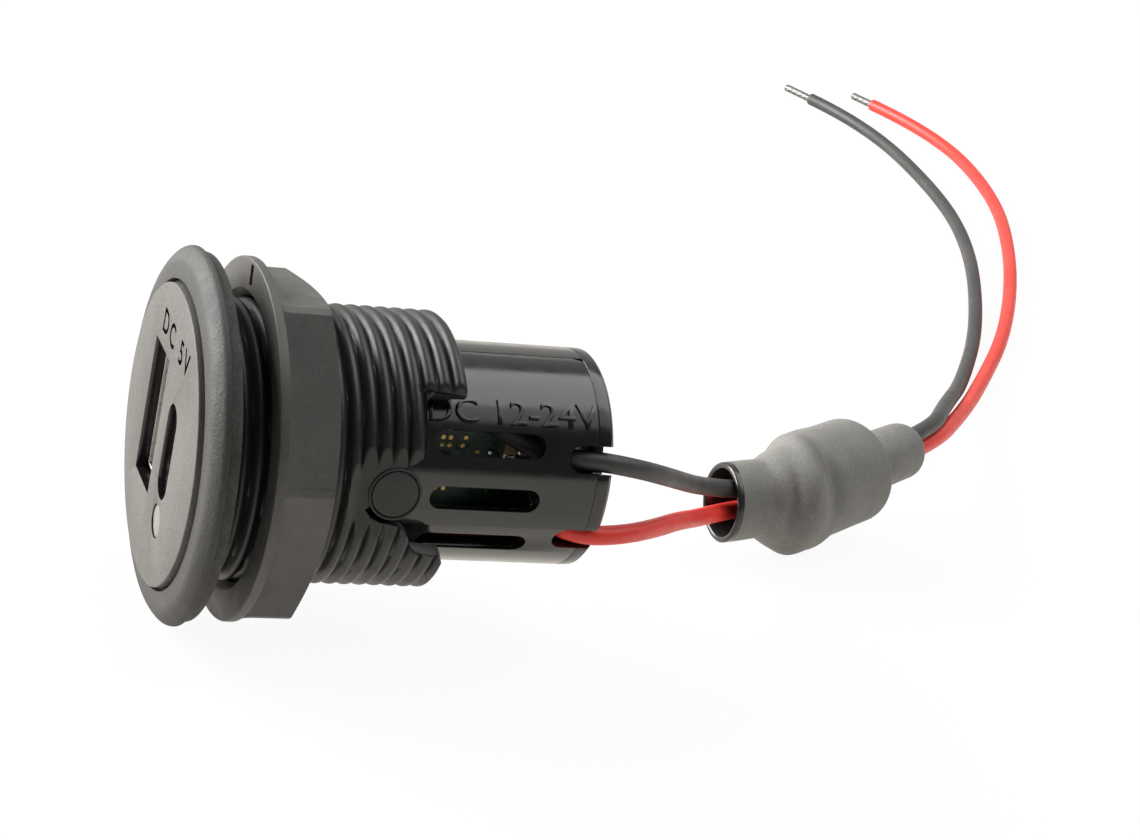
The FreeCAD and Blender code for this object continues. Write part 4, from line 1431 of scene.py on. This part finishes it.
@dataclass
class ShrinkSleeve:
    """Heat-shrink sleeve round both leads: a flared neck, and a belly drawn down over a core.

    Headings are in degrees from +Y towards -X. Angles round the sleeve run from its +X side towards +Z.
    """

    mouth: Point = (-14.2, 63.35, -11.25)
    neck_heading: float = 16.0
    belly_heading: float = 33.4
    cut_heading: float = 3.5
    bend: Span = (6.0, 12.0)
    swing: Span = (8.0, 14.0)
    wall: float = 0.7
    rim: float = 0.45
    lip: float = 0.3
    floor: float = -17.95
    columns: int = 144
    rows: int = 230
    core_ease: float = 0.1
    waves: tuple[tuple[float, ...], ...] = ((0.03, 2, 0.5, 0.0), (0.025, 3, -0.35, 1.0))
    outline: tuple[Corner, ...] = (
        (4.35, 0.0),
        (4.33, 4.8, 0.4),
        (5.8, 7.2, 0.8),
        (6.6, 9.4, 0.8),
        (6.15, 11.4, 0.6),
        (5.85, 12.5, 0.5),
        (5.95, 14.2, 0.8),
        (6.0, 21.75, 0.3),
        (3.15, 22.9, 0.45),
        (3.42, 28.5, 2.0),
        (3.35, 33.9, 0.9),
        (2.95, 34.1),
    )
    dents: tuple[Dent, ...] = (
        Dent(7.2, 12.0, 0.85, 45.0, 0.85),
        Dent(11.4, 36.0, 0.85, 42.0, 1.05),
        Dent(9.2, 30.0, 0.6, 45.0, -0.15),
        Dent(8.4, 128.0, 1.7, 52.0, 0.75),
        Dent(9.3, -66.0, 1.4, 40.0, -0.28),
        Dent(11.8, -64.0, 1.2, 42.0, -0.5),
        Dent(13.0, 118.0, 3.0, 55.0, -0.45),
        Dent(18.5, 118.0, 4.5, 55.0, -0.25),
        Dent(17.0, -140.0, 3.0, 45.0, 0.2),
    )

    def heading(self, s: np.ndarray, span: Span, first: float) -> np.ndarray:
        """Heading in radians that swings from the first one to the belly's.

        The swing follows t t (3 - 2 t), where t is the share of the span that is passed.

        Args:
            s: Place along the sleeve.
            span: Places where the swing starts and ends.
            first: Heading before it, in degrees.

        Returns:
            Heading at each place.
        """
        share = np.clip((s - span[0]) / (span[1] - span[0]), 0.0, 1.0)
        return np.radians(first + (self.belly_heading - first) * share * share * (3 - 2 * share))

    def centre(self, s: np.ndarray) -> np.ndarray:
        """Points of the bent middle line: the mouth plus the sum of small steps along its heading.

        Args:
            s: Places along the sleeve.

        Returns:
            Points, three numbers each.
        """
        fine = np.linspace(-1.0, 35.0, 1200)
        heading = self.heading(fine, self.bend, self.neck_heading)
        steps = np.stack([-np.sin(heading), np.cos(heading), np.zeros_like(fine)], axis=-1)
        line = np.cumsum(steps * (fine[1] - fine[0]), axis=0)
        line += np.array(self.mouth) - line[np.searchsorted(fine, 0.0)]
        return np.stack([np.interp(s, fine, line[:, axis]) for axis in range(3)], axis=-1)

    def rings(self, radius: np.ndarray, s: np.ndarray) -> np.ndarray:
        """Rows of points round the middle line.

        The point at (s, angle) is the middle line at s, plus the radius less the dents and low waves, out
        at that angle in a section square to its own heading. Points below the table are lifted to it.

        Args:
            radius: Radius of each row.
            s: Place of each row along the sleeve.

        Returns:
            Grid of points.
        """
        angle = np.linspace(-np.pi, np.pi, self.columns, endpoint=False)[None, :]
        place = s[:, None]
        depth = sum(
            height * np.sin(count * angle + twist * place + start)
            for height, count, twist, start in self.waves
        )
        depth = depth + sum(dent.depth_at(place, angle) for dent in self.dents)
        heading = self.heading(s, self.swing, self.cut_heading)
        side = np.stack([np.cos(heading), np.sin(heading), np.zeros_like(heading)], axis=-1)
        up = np.array([0.0, 0.0, 1.0])
        ring = np.cos(angle)[..., None] * side[:, None] + np.sin(angle)[..., None] * up
        points = self.centre(s)[:, None] + (radius[:, None] - depth)[..., None] * ring
        points[..., 2] = np.maximum(points[..., 2], self.floor)
        return points

    def skin(self) -> Skin:
        """Outer skin in one finish, and both cut ends with the inside in another.

        The outer rows lie evenly along the outline. The inner rows run back a wall's thickness inside it,
        and the mouth's lip is half an ellipse between the two.

        Returns:
            The closed skin.
        """
        profile = soften(self.outline, 8)
        run = np.concatenate([[0.0], np.cumsum(np.linalg.norm(np.diff(profile, axis=0), axis=1))])
        even = np.linspace(0.0, run[-1], self.rows)
        radius = np.interp(even, run, profile[:, 0])
        s = np.interp(even, run, profile[:, 1])
        outer = self.rings(radius, s)
        turn = np.linspace(np.pi, 0.0, 9)[1:-1]
        lip_r = radius[0] - self.wall / 2 * (1 - np.cos(turn))
        lip_s = s[0] - self.lip * np.sin(turn)
        back_r = np.concatenate([radius[-8::-8] - self.wall, lip_r])
        back_s = np.concatenate([s[-8::-8], lip_s])
        inner = np.concatenate([outer[-1:], self.rings(back_r, back_s), outer[:1]])
        rim = int(np.searchsorted(s, self.rim))
        return Skin().add(outer[:rim + 1], finish=1).add(outer[rim:]).add(inner, finish=1)

    def build(self) -> list[bpy.types.Object]:
        """Make the sleeve and its core.

        Returns:
            Both pieces, which are passed to the black lead's build.
        """
        sleeve = self.skin().build("heat_shrink_sleeve", 60.0)
        dress(sleeve, [SHRINK_GREY, SHRINK_CUT], ["shrink_sleeve"])
        core = welded_copy("ferrite_core", "sleeve_core", self.core_ease)
        dress(core, [CORE_GREY], ["ferrite_core"])
        return [sleeve, core]


BLACK_LEAD = Lead(
    LeadColour.BLACK,
    (
        (3.2, 22.6, 7.2), (5.4, 27.6, 5.3), (7.3, 32.7, 3.2), (9.4, 37.3, 4.0), (8.6, 42.0, 3.0),
        (5.0, 46.5, 0.7), (-0.6, 51.0, -2.4), (-7.0, 56.0, -5.9), (-14.0, 63.5, -9.6),
        (-16.5, 72.0, -10.15), (-33.8, 98.0, -10.1), (-48.1, 107.5, -13.0), (-64.7, 119.2, -17.0),
        (-85.2, 131.7, -17.0), (-115.2, 145.4, -17.0), (-139.6, 151.7, -17.0), (-171.6, 153.3, -17.0),
        (-183.4, 147.8, -17.0),
    ),
    length=259.5,
    tip_length=6.0,
    jacket=JACKET_BLACK,
    slot=Slot.LEAD_BLACK,
)
RED_LEAD = Lead(
    LeadColour.RED,
    (
        (3.2, 22.6, -6.6), (5.0, 27.6, -6.2), (7.4, 33.4, -3.5), (9.4, 37.3, -4.1), (8.2, 42.0, -4.4),
        (4.5, 47.0, -5.4), (-1.0, 52.0, -7.2), (-7.5, 57.3, -10.0), (-14.5, 64.5, -12.3),
        (-16.9, 72.4, -12.35), (-34.2, 98.6, -12.4), (-48.6, 110.3, -14.6), (-63.5, 121.1, -17.0),
        (-84.5, 136.0, -17.0), (-113.6, 151.6, -17.0), (-141.8, 162.7, -17.0), (-170.5, 166.0, -17.0),
        (-183.8, 159.7, -17.0),
    ),
    length=262.7,
    tip_length=4.7,
    jacket=JACKET_RED,
    slot=Slot.LEAD_RED,
)


@dataclass(frozen=True)
class Softbox:
    """One large soft lamp."""

    name: str
    place: Point
    aim: Point
    size: Span
    glow: float

    def build(self) -> None:
        """Hang the lamp and point it at its aim; its power is its glow times pi times its area."""
        light = bpy.data.lights.new(self.name, "AREA")
        light.shape = "RECTANGLE"
        light.size, light.size_y = self.size
        light.energy = self.glow * math.pi * self.size[0] * self.size[1]
        lamp = stand(self.name, light)
        lamp.location = self.place
        lamp.rotation_euler = (Vector(self.aim) - Vector(self.place)).to_track_quat("-Z", "Y").to_euler()


@dataclass
class Studio:
    """Pale table, soft lamps, a dim room and the camera."""

    table_z: float = -18.0
    eye: Point = (239.771, -67.269, 112.827)
    right: Point = (0.3119, 0.92777, 0.20484)
    up: Point = (-0.43221, -0.05345, 0.90019)
    back: Point = (0.84612, -0.3693, 0.38433)
    lens: float = 90.55
    lamps: tuple[Softbox, ...] = (
        Softbox("overhead", (-0.15, 0.6, 0.7), (-0.15, 0.6, 0.0), (0.64, 1.2), 2.6),
        Softbox("overhead_edge", (0.31, 0.6, 0.7), (0.31, 0.6, 0.0), (0.28, 1.2), 1.0),
        Softbox("front", (-0.4, -0.55, 0.25), (0.0, 0.0, 0.0), (0.6, 0.6), 14.0),
    )
    room_dark: float = 0.11
    room_pale: float = 0.65
    room_swing: Span = (-0.2, -0.9)
    room_tint: Colour = (1.0, 0.985, 0.95)
    table_half: float = 4000.0
    table_drop: float = 0.02
    table_tones: tuple[Colour, Colour] = ((0.86, 0.845, 0.82), (0.88, 0.865, 0.84))
    table_glows: tuple[Colour, Colour] = ((1.0, 0.95, 0.87), (1.0, 1.0, 1.0))
    table_show: float = 0.94

    def world(self) -> None:
        """Room light: pale on the far side, -X, and dark behind the camera."""
        world = bpy.data.worlds.new("room")
        world.use_nodes = True
        tree = world.node_tree
        place = tree.nodes.new("ShaderNodeTexCoord")
        split = tree.nodes.new("ShaderNodeSeparateXYZ")
        swing = tree.nodes.new("ShaderNodeMapRange")
        swing.interpolation_type = "SMOOTHSTEP"
        for name, number in zip(RANGE_ENDS, (*self.room_swing, self.room_dark, self.room_pale)):
            swing.inputs[name].default_value = number
        tree.links.new(place.outputs["Generated"], split.inputs["Vector"])
        tree.links.new(split.outputs["X"], swing.inputs["Value"])
        tree.links.new(swing.outputs["Result"], tree.nodes["Background"].inputs["Strength"])
        tree.nodes["Background"].inputs["Color"].default_value = (*self.room_tint, 1.0)
        bpy.context.scene.world = world

    def table(self) -> None:
        """Wide pale table, shown white to the camera and to reflections, with a faint shadow."""
        grid = np.array([[(-1, -1), (-1, 1)], [(1, -1), (1, 1)]]) * self.table_half
        flat = np.concatenate([grid, np.full((2, 2, 1), self.table_z - self.table_drop)], axis=-1)
        table = Skin().add(flat, closed_columns=False).build("table")
        sheet = NodeSheet("table_white")
        clouds = sheet.noise(60.0, 2.0)
        sheet.colour(sheet.blend(clouds, *self.table_tones))
        sheet.shader.inputs["Roughness"].default_value = 0.9
        sheet.shader.inputs["Specular IOR Level"].default_value = 0.0
        glow = sheet.add("ShaderNodeEmission")
        glow.inputs["Strength"].default_value = 1.0
        path = sheet.add("ShaderNodeLightPath")
        seen = path.outputs["Is Camera Ray"]
        sheet.link(sheet.blend(seen, *self.table_glows), glow.inputs["Color"])
        for name in ("Is Glossy Ray", "Is Transmission Ray"):
            most = sheet.add("ShaderNodeMath")
            most.operation = "MAXIMUM"
            sheet.link(seen, most.inputs[0])
            sheet.link(path.outputs[name], most.inputs[1])
            seen = most.outputs["Value"]
        share = sheet.spread(seen, FULL, (0.0, self.table_show))
        mix = sheet.add("ShaderNodeMixShader")
        sheet.link(share, mix.inputs[0])
        sheet.link(sheet.shader.outputs["BSDF"], mix.inputs[1])
        sheet.link(glow.outputs["Emission"], mix.inputs[2])
        sheet.link(mix.outputs["Shader"], sheet.tree.nodes["Material Output"].inputs["Surface"])
        table.data.materials.append(sheet.material)

    def camera(self) -> None:
        """Camera at the picture's angle."""
        data = bpy.data.cameras.new("camera")
        data.lens = self.lens
        data.sensor_width = 36.0
        data.sensor_fit = "HORIZONTAL"
        data.clip_start = 0.01
        data.clip_end = 50.0
        camera = stand("camera", data)
        turn = Matrix((self.right, self.up, self.back)).transposed()
        camera.matrix_world = Matrix.Translation(Vector(self.eye) * MM) @ turn.to_4x4()
        bpy.context.scene.camera = camera

    def build(self) -> None:
        """Set up the view, the room, the table, the lamps and the camera."""
        bpy.context.scene.view_settings.view_transform = "Standard"
        self.world()
        self.table()
        for lamp in self.lamps:
            lamp.build()
        self.camera()


def main() -> None:
    """Build the studio and every sub-assembly in order."""
    logging.basicConfig(level=logging.INFO, format="%(name)s: %(message)s")
    Studio().build()
    BLACK_LEAD.build(ShrinkSleeve().build())
    RED_LEAD.build()
    MountingSleeve().build()
    PanelGasket().build()
    FlangeNut().build()
    InsertHousing().build()
    RearCap().build()
    BoardSet().build()


if __name__ == "__main__":
    main()
